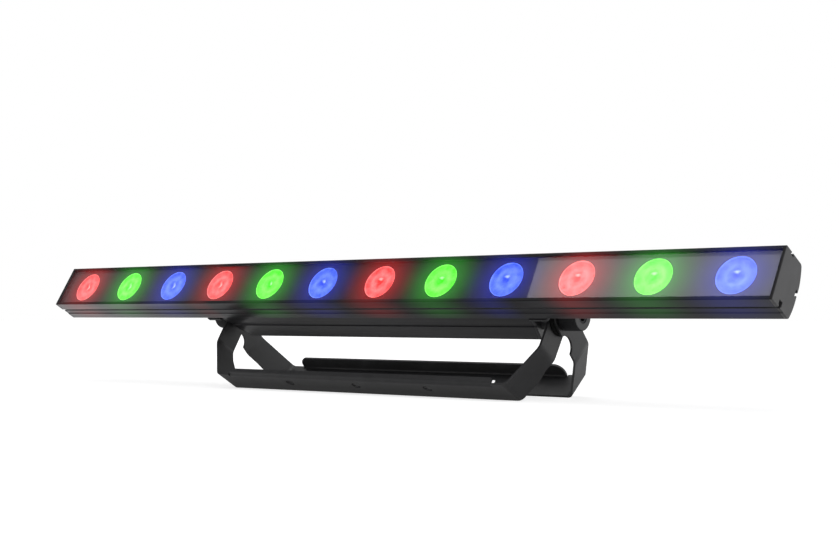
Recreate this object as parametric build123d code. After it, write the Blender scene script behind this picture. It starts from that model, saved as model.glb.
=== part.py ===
"""LED strip batten: a slim aluminium light bar with twelve lenses on two folding floor yokes.

Row frame: +X runs along the bar, -Y is the way the bar faces, +Z is up, and the origin lies under
the middle of the whole object, on the surface that it stands on.

Bar frame: the bar and all that it carries are modelled upright, with X along the bar, Y as the
depth behind the front face of the window and Z as the height above the lens centres. The whole bar
is then tilted back. Yoke frame: a yoke is modelled hanging straight down from its pivot at the
origin, with Y across its strip.
"""
from build123d import *
import math
import os

# ---------------------------------------------------------------- stance
TILT = 31.3               # degrees that the bar leans back
FRONT_SWING = 31.0        # degrees that the front yoke stands forward of straight down
PIVOT_DEPTH = 64.2        # pivot axis, behind the front face of the window
PIVOT_HEIGHT = -3.9       # pivot axis, above the lens centres

# ---------------------------------------------------------------- bar housing
BAR_LENGTH = 1000.0       # over the end caps
CAP_THICK = 3.0
CAP_EDGE = 0.4            # chamfer round the outer face of an end cap
TOP = 26.4                # top of the housing
BOTTOM = -27.5            # underside of the housing
LIP_DEPTH = 4.0           # how far the lips stand in front of the window
LIP_WALL = 3.3            # thickness of a lip
SHELL_WALL = 2.0
LIP_ROUND = 0.8
BACK_DEPTH = 33.0         # flat land down the middle of the back
BACK_LAND_TOP = 7.0
BACK_LAND_BOTTOM = -9.0
TOP_CORNER_DEPTH = 27.0   # where the rounded top corner meets the back
BOTTOM_CORNER_DEPTH = 29.5
TOP_CORNER_ROUND = 4.0
BOTTOM_CORNER_ROUND = 3.0
BACK_BULGE = 0.8          # how far each curved stretch of the back stands out of its chord
WEB_DEPTH = 19.0          # front face of the web that the boards sit on
WEB_THICK = 2.5
CHAMBER_TOP = 20.6
CHAMBER_BOTTOM = -17.8

# ---------------------------------------------------------------- slots along the housing
SLOT_LIP = 1.6            # thickness of the lips of every slot
SLOT_WALL = 1.2           # wall round the inside of a slot
TOP_SLOT_DEPTH = 8.0      # middle of the slot, behind the window
TOP_SLOT_MOUTH = 3.4
TOP_SLOT_WIDTH = 5.4
TOP_SLOT_DEEP = 3.4
RECESS_FRONT = 8.5        # shallow recess along the underside, which its slot opens into
RECESS_BACK = 19.0
RECESS_DEEP = 0.6
UNDER_SLOT_DEPTH = 10.5
UNDER_SLOT_MOUTH = 3.4
UNDER_SLOT_WIDTH = 5.6
UNDER_SLOT_DEEP = 7.0
BACK_SLOT_HEIGHT = -0.9
BACK_SLOT_MOUTH = 3.6
BACK_SLOT_WIDTH = 6.2
BACK_SLOT_DEEP = 4.2
PORT_DEPTH = 25.2         # ports that take the pegs of the end caps
PORT_TOP = 17.5
PORT_BOTTOM = -19.5
PORT_RADIUS = 3.2
PEG_RADIUS = 1.9
PEG_LENGTH = 12.0

# ---------------------------------------------------------------- window, lenses and boards
GAP = 0.1                 # clearance between pieces that seat on each other
PRESS_GAP = 0.01          # clearance round a piece that is pressed or moulded in
WINDOW_THICK = 2.5
WINDOW_INSERT = 1.4       # how far the window reaches into the grooves
MASK_THICK = 0.8
LENS_COUNT = 12
LENS_END = 43.5           # middle of the first lens, from the end of the bar
LENS_RADIUS = 20.0
LENS_RIM = 1.5            # thickness of the lens rim
LENS_NECK_RADIUS = 15.5
LENS_TAIL_RADIUS = 5.5
LENS_TAIL_DEPTH = 14.9
HOLDER_CLEARANCE = 0.3
HOLDER_WALL = 1.5
BOARD_THICK = 1.6
BOARD_TOP = 19.5
BOARD_BOTTOM = -17.5
BOARD_END_GAP = 3.0
BOARD_MID_GAP = 1.0
EMITTER_SIDE = 7.0
EMITTER_THICK = 1.0
EMITTER_DOME = 2.4
BOARD_SCREW_HEAD = 2.8
BOARD_SCREW_HEAD_THICK = 1.5
BOARD_SCREW_SHANK = 1.2
BOARD_SCREW_LENGTH = 3.4

# ---------------------------------------------------------------- driver case on the back
CASE_TOP = 17.0
CASE_BOTTOM = -23.0
CASE_BACK = 80.5
CASE_WALL = 2.0
CASE_BACK_ROUND = 6.0
CASE_FRONT_ROUND = 1.5
CASE_GROOVE_DEPTH = 49.2  # middle of the long grooves in the top and the underside
CASE_GROOVE_WIDTH = 7.0
CASE_GROOVE_DEEP = 1.0
END_CLEARANCE = 4.5       # between the front yoke's arm and the end plate, at the front of the case
END_RAKE = 17.0           # how much further in the raked end plate lies at the back of the case
END_PLATE = 3.5           # thickness of an end plate, along the bar
TONGUE_LENGTH = 5.0       # tongue of an end plate inside the tube
TONGUE_WALL = 2.0
END_SCREW_RADIUS = 2.8
END_SCREW_SHANK = 1.4
END_SCREW_HEAD = 2.0
END_SCREW_LENGTH = 9.0
END_SCREW_DEPTH = 38.4
END_SCREW_INSET = 5.0     # from the top or the underside of the case
END_SCREW_PORT = 2.8      # radius of the port in the tube that the screw goes into
FOOT_REACH = 19.0         # how far the foot of an end plate stands out beyond it
FOOT_THICK = 3.0
FOOT_TOP = 16.0
FOOT_BOTTOM = -26.2
FOOT_CORNER = 3.0
FOOT_SCREW_INSET = 10.5   # from the end of a foot to the screw in the back slot that holds it
CASE_SCREW_INSET = 30.5   # from the end of the case's back edge to the screws that hold the case
CASE_SCREW_HEAD = 2.9
CASE_SCREW_HEAD_THICK = 2.2
CASE_SCREW_SHANK = 1.5
NUT_THICK = 2.6
NUT_LENGTH = 12.0

# ---------------------------------------------------------------- pivots
BUSH_RADIUS = 6.0
BUSH_BORE = 4.05
BUSH_SEAT = 23.9          # how far a bush reaches into its boss
RUNNING_GAP = 0.05        # radial clearance between a yoke and its bush
FACE_GAP = 0.1            # clearance between faces that turn on each other
BOSS_RADIUS = 12.5
BOSS_LENGTH = 21.9
HUB_RADIUS = 9.0          # narrower root of the boss, inside the tube
HUB_LENGTH = 5.0
WASHER_THICK = 2.0
WASHER_RADIUS = 13.0
DISC_RADIUS = 19.4        # friction disc between the two yokes
STUD_RADIUS = 3.95
STUD_HEAD_RADIUS = 6.5    # cap head of the stud, moulded into the knob
STUD_HEAD_LENGTH = 9.0
THREAD_LEFT = 8.0         # thread of the bush that lies beyond the end of the stud
HEX_ACROSS = 8.0
HEX_DEEP = 5.0
CLAMP_WASHER_THICK = 1.8
CLAMP_WASHER_RADIUS = 12.0
KNOB_RADIUS = 13.8
KNOB_LENGTH = 20.5
KNOB_EDGE = 1.0
STUD_SET_IN = 0.6         # end of the stud, below the outer face of its knob

# ---------------------------------------------------------------- yokes
STRIP_THICK = 2.5
SHOULDER = 22.0           # length over which an arm widens into its base
FOLD_INSIDE = 11.0        # inside radius of the fold half way down an arm
CORNER_INSIDE = 6.0       # inside radius of the bend between an arm and the base
FRONT_REACH = 85.5        # pivot to the outer face of the base
FRONT_FOLD = 42.3         # pivot to the fold half way down an arm
FRONT_HALF = 234.5        # outer face of an arm at the pivot
FRONT_BASE_HALF = 208.6   # outer corner of the base
FRONT_ARM = 13.7          # half the width of an arm, whose edge runs on into the flange
FRONT_FREE_EDGE = 17.7    # pivot line to the other edge of the base
FRONT_FLANGE_TOP = 77.1   # pivot to the free edge of the flange
FRONT_SETBACK = 19.5      # from the corner of the base to the end of its flange
FRONT_FLANGE_CORNER = 3.0
YOKE_GAP = 2.0            # between the arms of the two yokes
REAR_REACH = 94.6
REAR_FOLD = 47.4
REAR_BASE_HALF = 213.5
REAR_ARM = 15.2
REAR_FREE_EDGE = 16.3
REAR_FLANGE_TOP = 77.4
REAR_SETBACK = 21.0
REAR_FLANGE_CORNER = 11.0
FLANGE_BEND = 2.0         # inside radius
RELIEF_WIDTH = 0.8        # slit beside each end of a flange
HOLE_RADIUS = 5.25        # clamp bolt holes
HOLE_PITCH = 100.0
NOTCH_RADIUS = 12.0       # waist in the front edge of the rear yoke's arms
NOTCH_ACROSS = -18.7      # middle of the waist, from the pivot line
NOTCH_DOWN = -24.1        # middle of the waist, below the pivot

# ---------------------------------------------------------------- panel on the back of the case
PANEL_HEIGHT = -3.0       # middle of the panel's pieces
PLATE_LENGTH = 92.0
PLATE_WIDTH = 25.0
PLATE_THICK = 1.5
PLATE_ROUND = 2.0
DISPLAY_OFFSET = 20.0
DISPLAY_LENGTH = 36.0
DISPLAY_WIDTH = 15.0
DISPLAY_THICK = 2.2
BUTTON_NAMES = ("menu_button", "down_button", "up_button", "enter_button")
BUTTON_START = -6.0
BUTTON_PITCH = 9.0
BUTTON_RADIUS = 3.0
BUTTON_PROUD = 1.6
BUTTON_FLANGE = 3.8
BUTTON_FLANGE_THICK = 1.0
BUTTON_TRAVEL = 1.0
BUTTON_CLEARANCE = 0.3
CONTROL_OPENING_LENGTH = 80.0
CONTROL_OPENING_WIDTH = 18.0
CONTROL_BOARD_LENGTH = 90.0
CONTROL_BOARD_WIDTH = 26.0
CONTROL_BOARD_DEPTH = 71.0
CONTROL_PILLAR_RADIUS = 1.6
SWITCH_SIDE = 5.0

POWER_INSET = 38.5        # middle of a mains socket, from the end of the case's back edge
POWER_FLANGE_LENGTH = 32.0
POWER_FLANGE_WIDTH = 25.0
POWER_FLANGE_THICK = 2.0
POWER_BODY_LENGTH = 27.0
POWER_BODY_WIDTH = 19.5
POWER_BODY_DEEP = 17.0
POWER_BODY_ROUND = 1.0
POWER_CAVITY_LENGTH = 24.4
POWER_CAVITY_WIDTH = 16.4
POWER_CAVITY_DEEP = 13.0
BLADE_WIDTH = 2.0
BLADE_HEIGHT = 4.0
BLADE_PITCH = 7.0
BLADE_RISE = 2.0          # outer blades, above the middle of the socket
BLADE_DROP = 0.7          # middle blade, below it
BLADE_LENGTH = 9.5
FUSE_SPACING = 36.0       # from the mains inlet to the fuse
FUSE_FLANGE_RADIUS = 7.5
FUSE_FLANGE_THICK = 1.6
FUSE_BODY_RADIUS = 5.6
FUSE_BODY_DEEP = 22.0
FUSE_WALL = 1.2
FUSE_CAP_RADIUS = 5.2
FUSE_CAP_PROUD = 3.0
FUSE_STEM_RADIUS = 3.9
FUSE_STEM_LENGTH = 14.0
DATA_SPACING = 36.0       # between the two data sockets
DATA_CLEARANCE = 44.0     # from the mains outlet to the data outlet
DATA_FLANGE_SIDE = 25.0
DATA_FLANGE_THICK = 2.0
DATA_BODY_RADIUS = 11.0
DATA_BODY_DEEP = 18.0
DATA_CAVITY_RADIUS = 8.2
DATA_CAVITY_DEEP = 14.0
DATA_CORE_RADIUS = 7.0
DATA_PIN_RADIUS = 1.2
DATA_PIN_CIRCLE = 4.4
DATA_PIN_LENGTH = 11.0
LATCH_LENGTH = 7.0
LATCH_WIDTH = 3.0
LATCH_PROUD = 1.6
LATCH_DEEP = 5.0
LATCH_TRAVEL = 1.2
SOCKET_CLEARANCE = 0.25
PANEL_FLANGE_ROUND = 2.0

LOOP_SPACING = 36.0       # from the fuse to the middle of the safety loop
LOOP_ROD = 2.2            # radius of the safety loop's rod
LOOP_HALF = 9.0
LOOP_REACH = 14.0
LOOP_BEND = 5.0
LOOP_FOOT_RADIUS = 4.0
LOOP_FOOT_THICK = 2.0

# ---------------------------------------------------------------- electronics in the case
POWER_BOARD_LENGTH = 150.0
POWER_BOARD_OFFSET = 72.0 # from the mains inlet to the middle of the board
POWER_BOARD_WIDTH = 20.0
PILLAR_HEIGHT = 6.5
PILLAR_RADIUS = 2.5
TRANSFORMER_SIZE = (26.0, 18.0, 22.0)
TRANSFORMER_OFFSET = 10.0 # from the middle of the board
CORE_LENGTH = 12.0
CAPACITOR_RADIUS = 6.0
CAPACITOR_HEIGHT = 20.0
CAPACITOR_COUNT = 3
CAPACITOR_PITCH = 15.0
CAPACITOR_OFFSET = -54.0  # first capacitor, from the middle of the board
LEAD_RADIUS = 2.5
LEAD_X = 0.0
LEAD_HEIGHT = -9.8
GROMMET_WALL = 1.2
GROMMET_FLANGE = 1.2

# ---------------------------------------------------------------- sizes worked out from the above
REAR_HALF = FRONT_HALF + YOKE_GAP + STRIP_THICK
PIVOT_Z = (FRONT_REACH * math.cos(math.radians(FRONT_SWING))
           + FRONT_FREE_EDGE * math.sin(math.radians(FRONT_SWING)))
REAR_SWING = (math.degrees(math.atan2(REAR_FREE_EDGE, REAR_REACH))
              + math.degrees(math.acos(PIVOT_Z / math.hypot(REAR_REACH, REAR_FREE_EDGE))))
COS_TILT = math.cos(math.radians(TILT))
SIN_TILT = math.sin(math.radians(TILT))
FRONT_MOST = ((-LIP_DEPTH - PIVOT_DEPTH) * COS_TILT
              + (BOTTOM - PIVOT_HEIGHT) * SIN_TILT)
REAR_MOST = (REAR_REACH * math.sin(math.radians(REAR_SWING))
             + REAR_ARM * math.cos(math.radians(REAR_SWING)))
PIVOT_Y = -(FRONT_MOST + REAR_MOST) / 2

HOUSING_HALF = BAR_LENGTH / 2 - CAP_THICK
LENS_PITCH = (BAR_LENGTH - 2 * LENS_END) / (LENS_COUNT - 1)
LIP_TOP = TOP - LIP_WALL
LIP_BOTTOM = BOTTOM + LIP_WALL
MASK_FRONT = WINDOW_THICK + GAP
LENS_FRONT = MASK_FRONT + GAP
GROOVE_BACK = MASK_FRONT + MASK_THICK + GAP
BOARD_FRONT = WEB_DEPTH - BOARD_THICK
FRONT_ARM_INSIDE = FRONT_HALF - STRIP_THICK
END_FRONT = FRONT_ARM_INSIDE - END_CLEARANCE
END_BACK = END_FRONT - END_RAKE
FOOT_END = END_FRONT + FOOT_REACH
FOOT_SCREW_HALF = FOOT_END - FOOT_SCREW_INSET
BOSS_END = FRONT_ARM_INSIDE - WASHER_THICK - FACE_GAP
BOSS_START = BOSS_END - BOSS_LENGTH
HUB_START = BOSS_START - HUB_LENGTH
BUSH_INNER_END = BOSS_END - BUSH_SEAT
STUD_INNER_END = BUSH_INNER_END + THREAD_LEFT
BUSH_OUTER_END = REAR_HALF - FACE_GAP
CLAMP_FACE = REAR_HALF + FACE_GAP
KNOB_FACE = CLAMP_FACE + CLAMP_WASHER_THICK
KNOB_END = KNOB_FACE + KNOB_LENGTH
CASE_SCREW_HALF = END_BACK - CASE_SCREW_INSET
POWER_IN_X = END_BACK - POWER_INSET
POWER_OUT_X = -POWER_IN_X
DATA_OUT_X = POWER_OUT_X + DATA_CLEARANCE
DATA_IN_X = DATA_OUT_X + DATA_SPACING
FUSE_X = POWER_IN_X - FUSE_SPACING
LOOP_X = FUSE_X - LOOP_SPACING
POWER_BOARD_X = POWER_IN_X - POWER_BOARD_OFFSET
TRANSFORMER_X = POWER_BOARD_X + TRANSFORMER_OFFSET
CAPACITOR_X = POWER_BOARD_X + CAPACITOR_OFFSET
CASE_INSIDE_FRONT = BACK_DEPTH + CASE_WALL
CASE_INSIDE_BACK = CASE_BACK - CASE_WALL

ROW_PIVOT = (0, PIVOT_Y, PIVOT_Z)
BAR_PLACE = Location(ROW_PIVOT, (-TILT, 0, 0)) * Location((0, -PIVOT_DEPTH, -PIVOT_HEIGHT))
FRONT_PLACE = Location(ROW_PIVOT, (-FRONT_SWING, 0, 0))
REAR_PLACE = Location(ROW_PIVOT, (REAR_SWING, 0, 0))


# ---------------------------------------------------------------- small helpers
def across(x0, x1, section):
    """Extrude a section, drawn in depth and height, from x0 to x1 along the bar."""
    return extrude(Plane.YZ.offset(x0) * section, amount=x1 - x0)


def block(x0, x1, y0, y1, z0, z1):
    """A box between two corners."""
    return Pos((x0 + x1) / 2, (y0 + y1) / 2, (z0 + z1) / 2) * Box(x1 - x0, y1 - y0, z1 - z0)


def panel(y0, y1, z0, z1):
    """A rectangle in depth and height."""
    return Pos((y0 + y1) / 2, (z0 + z1) / 2) * Rectangle(y1 - y0, z1 - z0)


def rod_x(radius, x0, x1, y=0.0, z=0.0):
    """A round rod along X."""
    return Pos((x0 + x1) / 2, y, z) * Rot(0, 90, 0) * Cylinder(radius, x1 - x0)


def rod_y(radius, y0, y1, x=0.0, z=0.0):
    """A round rod along the depth of the bar."""
    return Pos(x, (y0 + y1) / 2, z) * Rot(90, 0, 0) * Cylinder(radius, y1 - y0)


def plate_y(length, width, corner, y0, y1, x=0.0, z=0.0):
    """A plate with round corners, standing across the depth of the bar."""
    outline = Plane.XZ.offset(-y0) * RectangleRounded(length, width, corner)
    return Pos(x, 0, z) * extrude(outline, amount=-(y1 - y0))


def both_ends(piece):
    """The same piece at the right end and, mirrored, at the left end."""
    return [piece, mirror(piece, Plane.YZ)]


# ---------------------------------------------------------------- bar housing
def housing_outline():
    """Outer outline of the extrusion, with its bulging back."""
    lines = Curve() + [
        Line((-LIP_DEPTH, BOTTOM), (BOTTOM_CORNER_DEPTH, BOTTOM)),
        SagittaArc((BOTTOM_CORNER_DEPTH, BOTTOM), (BACK_DEPTH, BACK_LAND_BOTTOM), -BACK_BULGE),
        Line((BACK_DEPTH, BACK_LAND_BOTTOM), (BACK_DEPTH, BACK_LAND_TOP)),
        SagittaArc((BACK_DEPTH, BACK_LAND_TOP), (TOP_CORNER_DEPTH, TOP), -BACK_BULGE),
        Line((TOP_CORNER_DEPTH, TOP), (-LIP_DEPTH, TOP)),
        Line((-LIP_DEPTH, TOP), (-LIP_DEPTH, BOTTOM)),
    ]
    outline = make_face(lines)
    low_corner = outline.vertices().sort_by_distance((BOTTOM_CORNER_DEPTH, BOTTOM, 0))[0]
    outline = fillet(low_corner, BOTTOM_CORNER_ROUND)
    high_corner = outline.vertices().sort_by_distance((TOP_CORNER_DEPTH, TOP, 0))[0]
    outline = fillet(high_corner, TOP_CORNER_ROUND)
    lips = outline.vertices().group_by(Axis.X)[0]
    return fillet(lips, LIP_ROUND)


def slot_cuts():
    """The undercut slots along the top, the underside and the back, and the recess underneath."""
    top = (panel(TOP_SLOT_DEPTH - TOP_SLOT_MOUTH / 2, TOP_SLOT_DEPTH + TOP_SLOT_MOUTH / 2,
                 TOP - TOP_SLOT_DEEP, TOP)
           + panel(TOP_SLOT_DEPTH - TOP_SLOT_WIDTH / 2, TOP_SLOT_DEPTH + TOP_SLOT_WIDTH / 2,
                   TOP - TOP_SLOT_DEEP, TOP - SLOT_LIP))
    floor = BOTTOM + RECESS_DEEP
    under = (panel(RECESS_FRONT, RECESS_BACK, BOTTOM, floor)
             + panel(UNDER_SLOT_DEPTH - UNDER_SLOT_MOUTH / 2, UNDER_SLOT_DEPTH + UNDER_SLOT_MOUTH / 2,
                     BOTTOM, BOTTOM + UNDER_SLOT_DEEP)
             + panel(UNDER_SLOT_DEPTH - UNDER_SLOT_WIDTH / 2, UNDER_SLOT_DEPTH + UNDER_SLOT_WIDTH / 2,
                     floor + SLOT_LIP, BOTTOM + UNDER_SLOT_DEEP))
    back = (panel(BACK_DEPTH - BACK_SLOT_DEEP, BACK_DEPTH,
                  BACK_SLOT_HEIGHT - BACK_SLOT_MOUTH / 2, BACK_SLOT_HEIGHT + BACK_SLOT_MOUTH / 2)
            + panel(BACK_DEPTH - BACK_SLOT_DEEP, BACK_DEPTH - SLOT_LIP,
                    BACK_SLOT_HEIGHT - BACK_SLOT_WIDTH / 2, BACK_SLOT_HEIGHT + BACK_SLOT_WIDTH / 2))
    return top + under + back


def housing_cavities():
    """Room for the window, the lenses and the boards, and the hollow behind the web."""
    opening = panel(-LIP_DEPTH, 0, LIP_BOTTOM, LIP_TOP)
    groove = panel(-GAP, GROOVE_BACK, LIP_BOTTOM - WINDOW_INSERT, LIP_TOP + WINDOW_INSERT)
    chamber = panel(GROOVE_BACK, WEB_DEPTH, CHAMBER_BOTTOM, CHAMBER_TOP)
    rim_room = LENS_RADIUS + HOLDER_CLEARANCE
    slot_front = UNDER_SLOT_DEPTH - UNDER_SLOT_WIDTH / 2 - SLOT_WALL
    chamber += panel(GROOVE_BACK, slot_front, -rim_room, rim_room)
    slot_back = TOP_SLOT_DEPTH + TOP_SLOT_WIDTH / 2 + SLOT_WALL
    upper_pocket = panel(slot_back, WEB_DEPTH, CHAMBER_TOP, TOP - SHELL_WALL)
    rear = offset(housing_outline(), -SHELL_WALL) & panel(WEB_DEPTH + WEB_THICK, BACK_DEPTH, BOTTOM, TOP)
    rear -= panel(BACK_DEPTH - BACK_SLOT_DEEP - SLOT_WALL, BACK_DEPTH,
                  BACK_SLOT_HEIGHT - BACK_SLOT_WIDTH / 2 - SLOT_WALL,
                  BACK_SLOT_HEIGHT + BACK_SLOT_WIDTH / 2 + SLOT_WALL)
    for height in (PORT_TOP, PORT_BOTTOM):
        rear -= Pos(PORT_DEPTH, height) * Circle(PORT_RADIUS)
        rear -= panel(WEB_DEPTH + WEB_THICK, PORT_DEPTH, height - PEG_RADIUS, height + PEG_RADIUS)
    return opening + groove + chamber + upper_pocket + rear


def port_holes(radius):
    """Round holes that take the pegs of an end cap."""
    return Sketch() + [Pos(PORT_DEPTH, height) * Circle(radius) for height in (PORT_TOP, PORT_BOTTOM)]


def housing_extrusion():
    section = housing_outline() - slot_cuts() - housing_cavities() - port_holes(PEG_RADIUS + GAP)
    housing = across(-HOUSING_HALF, HOUSING_HALF, section)
    lead_hole = LEAD_RADIUS + GROMMET_WALL + GAP
    housing -= rod_y(lead_hole, WEB_DEPTH - GAP, BACK_DEPTH + GAP, LEAD_X, LEAD_HEIGHT)
    for x in board_screw_places():
        housing -= rod_y(BOARD_SCREW_SHANK + GAP, WEB_DEPTH - GAP, WEB_DEPTH + WEB_THICK + GAP, x)
    return housing


def end_cap():
    """Right end cap: a plate with the housing's outline and notches, and pegs on its inner face."""
    plate = across(HOUSING_HALF, HOUSING_HALF + CAP_THICK, housing_outline())
    plate = chamfer(plate.edges().group_by(Axis.X)[-1], CAP_EDGE)
    plate -= across(HOUSING_HALF - GAP, HOUSING_HALF + CAP_THICK + GAP, slot_cuts())
    return plate + across(HOUSING_HALF - PEG_LENGTH, HOUSING_HALF, port_holes(PEG_RADIUS))


# ---------------------------------------------------------------- window, lenses and boards
def lens_places():
    first = -LENS_PITCH * (LENS_COUNT - 1) / 2
    return [first + LENS_PITCH * i for i in range(LENS_COUNT)]


def board_screw_places():
    """Half way between the second and third lens of every three, and its neighbours."""
    return [x + LENS_PITCH / 2 for x in lens_places()[:-1] if abs(x + LENS_PITCH / 2) > LENS_PITCH / 2]


def front_window():
    section = panel(0, WINDOW_THICK, LIP_BOTTOM - WINDOW_INSERT + GAP, LIP_TOP + WINDOW_INSERT - GAP)
    return across(-HOUSING_HALF + GAP, HOUSING_HALF - GAP, section)


def lens_mask():
    """Black sheet behind the window, with a round hole for each lens."""
    section = panel(MASK_FRONT, MASK_FRONT + MASK_THICK,
                    LIP_BOTTOM - WINDOW_INSERT + GAP, LIP_TOP + WINDOW_INSERT - GAP)
    mask = across(-HOUSING_HALF + GAP, HOUSING_HALF - GAP, section)
    for x in lens_places():
        mask -= rod_y(LENS_RADIUS + HOLDER_CLEARANCE, MASK_FRONT - GAP, MASK_FRONT + MASK_THICK + GAP, x)
    return mask


def lens(x):
    """Collimator lens: a flat rim in front of a cone that narrows to the emitter."""
    outline = Polyline(
        (0, LENS_FRONT), (LENS_RADIUS, LENS_FRONT), (LENS_RADIUS, LENS_FRONT + LENS_RIM),
        (LENS_NECK_RADIUS, LENS_FRONT + LENS_RIM), (LENS_TAIL_RADIUS, LENS_TAIL_DEPTH),
        (0, LENS_TAIL_DEPTH), close=True)
    return Pos(x, 0, 0) * revolve(Plane.XY * make_face(outline), Axis.Y)


def lens_holders():
    """A round spacer behind each lens, standing on the board."""
    inside = LENS_NECK_RADIUS + HOLDER_CLEARANCE
    front = LENS_FRONT + LENS_RIM + GAP
    back = BOARD_FRONT - GAP
    return [rod_y(inside + HOLDER_WALL, front, back, x) - rod_y(inside, front - GAP, back + GAP, x)
            for x in lens_places()]


def led_board(side):
    """One of the two lamp boards: side is -1 at the left and 1 at the right."""
    ends = sorted((side * BOARD_MID_GAP / 2, side * (HOUSING_HALF - BOARD_END_GAP)))
    board = block(ends[0], ends[1], BOARD_FRONT, WEB_DEPTH, BOARD_BOTTOM, BOARD_TOP)
    for x in board_screw_places():
        if ends[0] < x < ends[1]:
            board -= rod_y(BOARD_SCREW_SHANK + GAP, BOARD_FRONT - GAP, WEB_DEPTH + GAP, x)
    return board


def led_emitters():
    """One emitter behind each lens: a square base with a low dome."""
    emitters = []
    for x in lens_places():
        base = block(x - EMITTER_SIDE / 2, x + EMITTER_SIDE / 2, BOARD_FRONT - EMITTER_THICK, BOARD_FRONT,
                     -EMITTER_SIDE / 2, EMITTER_SIDE / 2)
        emitters.append(base + rod_y(EMITTER_DOME, BOARD_FRONT - 2 * EMITTER_THICK, BOARD_FRONT, x))
    return emitters


def board_screws():
    screws = []
    for x in board_screw_places():
        head = rod_y(BOARD_SCREW_HEAD, BOARD_FRONT - BOARD_SCREW_HEAD_THICK, BOARD_FRONT, x)
        screws.append(head + rod_y(BOARD_SCREW_SHANK, BOARD_FRONT, BOARD_FRONT + BOARD_SCREW_LENGTH, x))
    return screws


# ---------------------------------------------------------------- driver case
def case_outline():
    """Outline of the driver case, with round back corners and a groove above and below."""
    outline = panel(BACK_DEPTH, CASE_BACK, CASE_BOTTOM, CASE_TOP)
    corners = outline.vertices().group_by(Axis.X)
    outline = fillet(corners[-1], CASE_BACK_ROUND)
    front = outline.vertices().group_by(Axis.X)[0]
    outline = fillet(front, CASE_FRONT_ROUND)
    for edge in (CASE_TOP, CASE_BOTTOM):
        outline -= panel(CASE_GROOVE_DEPTH - CASE_GROOVE_WIDTH / 2, CASE_GROOVE_DEPTH + CASE_GROOVE_WIDTH / 2,
                         edge - CASE_GROOVE_DEEP, edge + CASE_GROOVE_DEEP)
    return outline


def case_inside(clearance=0.0):
    """The hollow of the case, or with a clearance what slides into it."""
    wall = CASE_WALL + CASE_GROOVE_DEEP / 2 + clearance
    return panel(BACK_DEPTH + CASE_WALL + clearance, CASE_BACK - CASE_WALL - clearance,
                 CASE_BOTTOM + wall, CASE_TOP - wall)


def end_screw_ports(radius):
    """Circles where the screws of an end plate go into the tube."""
    heights = (CASE_TOP - END_SCREW_INSET, CASE_BOTTOM + END_SCREW_INSET)
    return Sketch() + [Pos(END_SCREW_DEPTH, height) * Circle(radius) for height in heights]


def raked_cut(margin):
    """Space outside the raked face of the right end plate, drawn from above and set in by a margin."""
    far = REAR_HALF + KNOB_LENGTH
    slope = (END_BACK - END_FRONT) / (CASE_BACK - BACK_DEPTH)
    front = BACK_DEPTH - CASE_WALL
    back = CASE_BACK + CASE_WALL
    outline = Polyline(
        (END_FRONT - margin + slope * (front - BACK_DEPTH), front), (far, front), (far, back),
        (END_FRONT - margin + slope * (back - BACK_DEPTH), back), close=True)
    return extrude(Plane.XY.offset(FOOT_BOTTOM - GAP) * make_face(outline),
                   amount=CASE_TOP - FOOT_BOTTOM + 2 * GAP)


def driver_case():
    """Aluminium tube behind the bar: raked ends, screw ports, panel cut-outs and fixing holes."""
    section = case_outline() - case_inside() + end_screw_ports(END_SCREW_PORT)
    case = across(-END_FRONT, END_FRONT, section - end_screw_ports(END_SCREW_SHANK))
    for cut in both_ends(raked_cut(END_PLATE)):
        case -= cut
    through = (CASE_INSIDE_BACK - GAP, CASE_BACK + GAP)
    for x in (POWER_IN_X, POWER_OUT_X):
        case -= plate_y(POWER_BODY_LENGTH + 2 * GAP, POWER_BODY_WIDTH + 2 * GAP, POWER_BODY_ROUND,
                        *through, x, PANEL_HEIGHT)
    for x in (DATA_IN_X, DATA_OUT_X):
        case -= rod_y(DATA_BODY_RADIUS + GAP, *through, x, PANEL_HEIGHT)
    case -= Pos(DATA_OUT_X, 0, PANEL_HEIGHT) * latch_space(2 * SOCKET_CLEARANCE, DATA_BODY_DEEP)
    case -= rod_y(FUSE_BODY_RADIUS + GAP, *through, FUSE_X, PANEL_HEIGHT)
    case -= plate_y(CONTROL_OPENING_LENGTH, CONTROL_OPENING_WIDTH, PLATE_ROUND, *through, 0, PANEL_HEIGHT)
    for side in (-1, 1):
        case -= rod_y(CASE_SCREW_SHANK + GAP, BACK_DEPTH - GAP, CASE_INSIDE_FRONT + GAP,
                      side * CASE_SCREW_HALF, BACK_SLOT_HEIGHT)
        case -= rod_y(LOOP_ROD + GAP, *through, LOOP_X + side * LOOP_HALF, PANEL_HEIGHT)
    case -= rod_y(LEAD_RADIUS + GROMMET_WALL + GAP, BACK_DEPTH - GAP, CASE_INSIDE_FRONT + GAP,
                  LEAD_X, LEAD_HEIGHT)
    return case


def end_screw_seat():
    """Where the heads of the end screws sit: sunk flush in the raked face."""
    face = END_FRONT + (END_BACK - END_FRONT) * (END_SCREW_DEPTH - BACK_DEPTH) / (CASE_BACK - BACK_DEPTH)
    return face - END_SCREW_HEAD - GAP


def foot():
    """Foot of the right end plate: a flat plate against the back of the housing."""
    half = FOOT_END - END_BACK
    pad = plate_y(2 * half, FOOT_TOP - FOOT_BOTTOM, FOOT_CORNER, BACK_DEPTH, BACK_DEPTH + FOOT_THICK,
                  END_BACK, (FOOT_TOP + FOOT_BOTTOM) / 2)
    pad -= rod_y(CASE_SCREW_SHANK + GAP, BACK_DEPTH - GAP, BACK_DEPTH + FOOT_THICK + GAP,
                 FOOT_SCREW_HALF, BACK_SLOT_HEIGHT)
    return pad & raked_cut(END_PLATE)


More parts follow.
